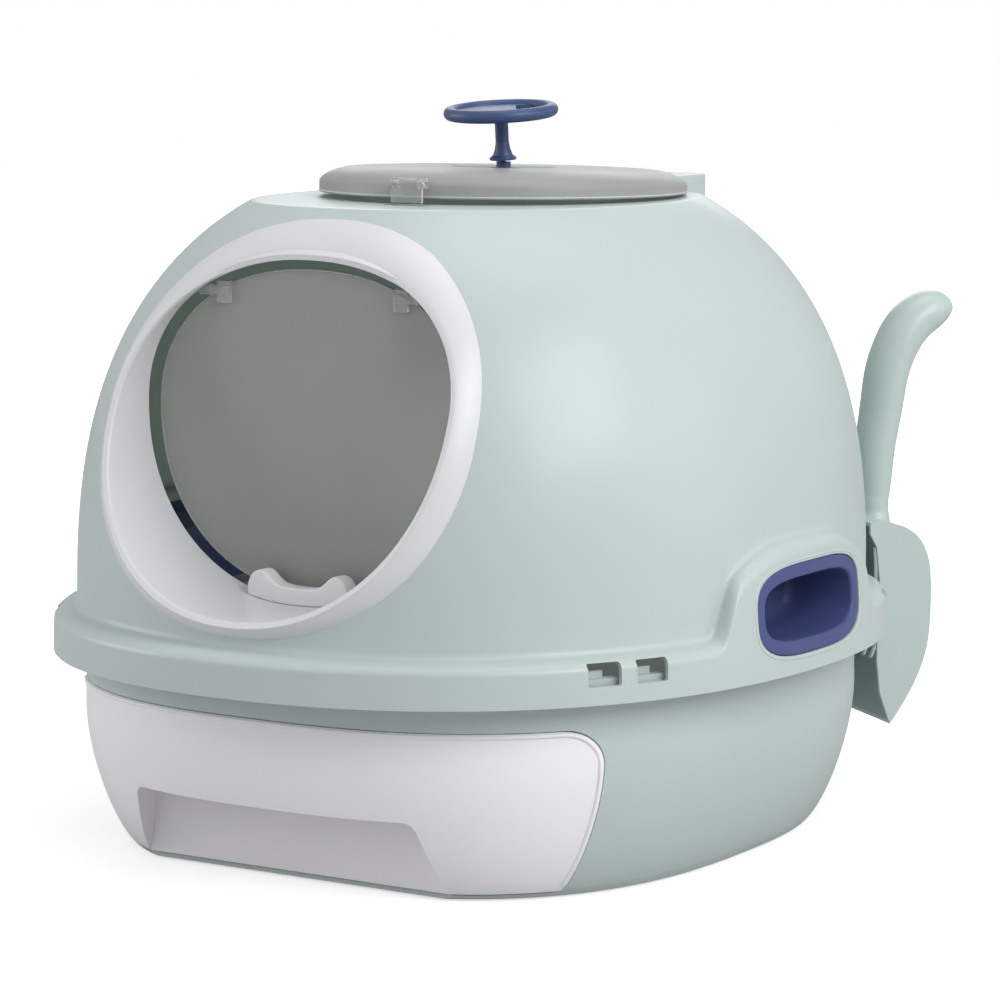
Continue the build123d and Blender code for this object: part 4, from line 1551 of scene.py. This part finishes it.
        dish = Workbench.wrap("lid_dish", self.columns, len(profile), place)
        Workbench.merge(dish, True)
        for piece in [dish, *self.fittings()]:
            Workbench.soften(piece, degrees=35.0)
            kit.fit(piece, "smoke_lid", "lid", "smoked_lid", "skylight_lid")
        # Pale ring along the skirt's lower edge: a painted highlight for the light that gathers in the smoked
        # sheet's edge.
        edge = Workbench.ring("lid_edge", self.edge, self.middle, Vector((0, 0, 1)), self.edge_radius, 220)
        kit.fit(edge, "painted_edge_highlight", "lid", "smoked_lid")


class LampKind(Enum):
    """Kinds of lamp in the studio."""

    SOFTBOX = "AREA"
    BULB = "POINT"


@dataclass(frozen=True)
class Lamp:
    """One lamp: name, place and size in metres, power in watts, kind, colour and what it looks at."""

    name: str
    place: Triple
    size: float
    watts: float
    kind: LampKind = LampKind.SOFTBOX
    colour: Triple = (1.0, 1.0, 1.0)
    target: Triple = (0.0, 0.0, 0.2)

    def light(self) -> bpy.types.Light:
        """Make the lamp's light.

        Returns:
            The light.
        """
        data = bpy.data.lights.new(self.name, self.kind.value)
        data.energy = self.watts
        data.color = self.colour
        if self.kind is LampKind.SOFTBOX:
            data.shape = "SQUARE"
            data.size = self.size
        else:
            data.shadow_soft_size = self.size
        return data


@dataclass
class Studio:
    """Camera, floor, world and lamps of the picture.

    The weak cabin lamp stands for the light that comes in through the thin shell.
    """

    eye: Triple = (1.198, -1.876, 0.4906)
    target: Triple = (0.0114, 0.0073, 0.1897)
    focal_mm: float = 138.2
    floor_half: float = 6.0
    floor_tone: float = 0.54
    fade_reach: Pair = (0.3, 1.1)
    fade_glow: Pair = (0.63, 1.1)
    room_light: float = 0.42
    lamps: Sequence[Lamp] = (
        Lamp("key_lamp", (2.3, -0.6, 1.7), 1.6, 42.0),
        Lamp("front_lamp", (-0.8, -2.6, 1.7), 1.8, 6.5),
        Lamp("top_lamp", (0.0, 0.3, 2.6), 1.6, 14.0),
        Lamp("rear_lamp", (-1.2, 2.2, 1.4), 1.4, 10.0),
        Lamp("right_lamp", (2.6, 0.9, 0.9), 1.5, 9.0),
        Lamp("cabin_lamp", (0.0, 0.03, 0.2), 0.08, 0.16, LampKind.BULB, (0.95, 1.0, 0.86), (0.0, 0.03, 0.0)),
        Lamp("left_lamp", (-2.6, -1.1, 0.9), 1.5, 22.0),
    )

    @staticmethod
    def hang(data: bpy.types.ID, place: Triple, target: Triple) -> bpy.types.Object:
        """Put a camera or light at its place, looking at a target.

        Args:
            data: The camera or light.
            place: Where it hangs, in metres.
            target: What it looks at.

        Returns:
            The object that holds it.
        """
        holder = bpy.data.objects.new(data.name, data)
        holder.location = place
        holder.rotation_mode = "QUATERNION"
        holder.rotation_quaternion = (Vector(target) - Vector(place)).to_track_quat("-Z", "Y")
        bpy.context.scene.collection.objects.link(holder)
        return holder

    def camera(self) -> None:
        """Place the camera as in the photograph."""
        data = bpy.data.cameras.new("studio_camera")
        data.lens = self.focal_mm
        data.sensor_width = 36.0
        data.clip_end = 60.0
        bpy.context.scene.camera = self.hang(data, self.eye, self.target)

    def floor(self) -> None:
        """Lay a pale floor that keeps the box's shadow and fades to white away from it."""
        bpy.ops.mesh.primitive_plane_add(size=2 * self.floor_half, location=(0, 0, 0))
        floor = bpy.context.active_object
        floor.name = "studio_floor"
        material = bpy.data.materials.new("studio_floor")
        material.use_nodes = True
        bench = NodeBench(material.node_tree)
        matte = bench.add("ShaderNodeBsdfDiffuse", {"Color": (*[self.floor_tone] * 3, 1.0)})
        place = bench.add("ShaderNodeTexCoord")
        away = bench.add("ShaderNodeVectorMath")
        away.operation = "LENGTH"
        (near, far), (dim, bright) = self.fade_reach, self.fade_glow
        fade = bench.add("ShaderNodeMapRange", {
            "From Min": near, "From Max": far, "To Min": dim, "To Max": bright})
        seen = bench.add("ShaderNodeLightPath")
        lift = bench.add("ShaderNodeMath")
        lift.operation = "MULTIPLY"
        glow = bench.add("ShaderNodeEmission")
        both = bench.add("ShaderNodeAddShader")
        bench.join(place, "Object", away, 0)
        bench.join(away, "Value", fade, "Value")
        bench.join(seen, "Is Camera Ray", lift, 0)
        bench.join(fade, "Result", lift, 1)
        bench.join(lift, "Value", glow, "Strength")
        bench.join(matte, "BSDF", both, 0)
        bench.join(glow, "Emission", both, 1)
        bench.join(both, "Shader", bench.add("ShaderNodeOutputMaterial"), "Surface")
        floor.data.materials.append(material)

    def world(self) -> None:
        """Light the room softly, with a white background for what the camera sees."""
        world = bpy.data.worlds.new("studio_world")
        bpy.context.scene.world = world
        world.use_nodes = True
        bench = NodeBench(world.node_tree)
        path = bench.add("ShaderNodeLightPath")
        seen = bench.add("ShaderNodeMath")
        seen.operation = "MAXIMUM"
        room = bench.add("ShaderNodeBackground", {"Color": WHITE, "Strength": self.room_light})
        backdrop = bench.add("ShaderNodeBackground", {"Color": WHITE, "Strength": 1.0})
        mix = bench.add("ShaderNodeMixShader")
        bench.join(path, "Is Camera Ray", seen, 0)
        bench.join(path, "Is Transmission Ray", seen, 1)
        bench.join(seen, "Value", mix, "Fac")
        bench.join(room, "Background", mix, 1)
        bench.join(backdrop, "Background", mix, 2)
        bench.join(mix, "Shader", bench.add("ShaderNodeOutputWorld"), "Surface")

    def build(self) -> None:
        """Set up the whole studio."""
        bpy.context.scene.view_settings.view_transform = "Standard"
        self.camera()
        self.floor()
        self.world()
        for lamp in self.lamps:
            self.hang(lamp.light(), lamp.place, lamp.target)


def main() -> None:
    """Build the studio and every piece in order."""
    logging.basicConfig(level=logging.INFO, format="%(message)s")
    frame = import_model()
    Studio().build()
    kit = FinishKit()
    CarriedNodes().dress(frame["nodes"], kit)
    DomeShell().build(kit)
    HingeBlock().build(kit)
    EntranceCollar().build(kit)
    for side, name in ((1, "handle_insert_right"), (-1, "handle_insert_left")):
        GripPocket().build(kit, side, name)
    SkylightLid().build(kit)
    DoorStop().build(kit)
    DoorEdge().build(kit)
    DrawerLip().build(kit)
    ScoopNeck().build(kit)


if __name__ == "__main__":
    main()
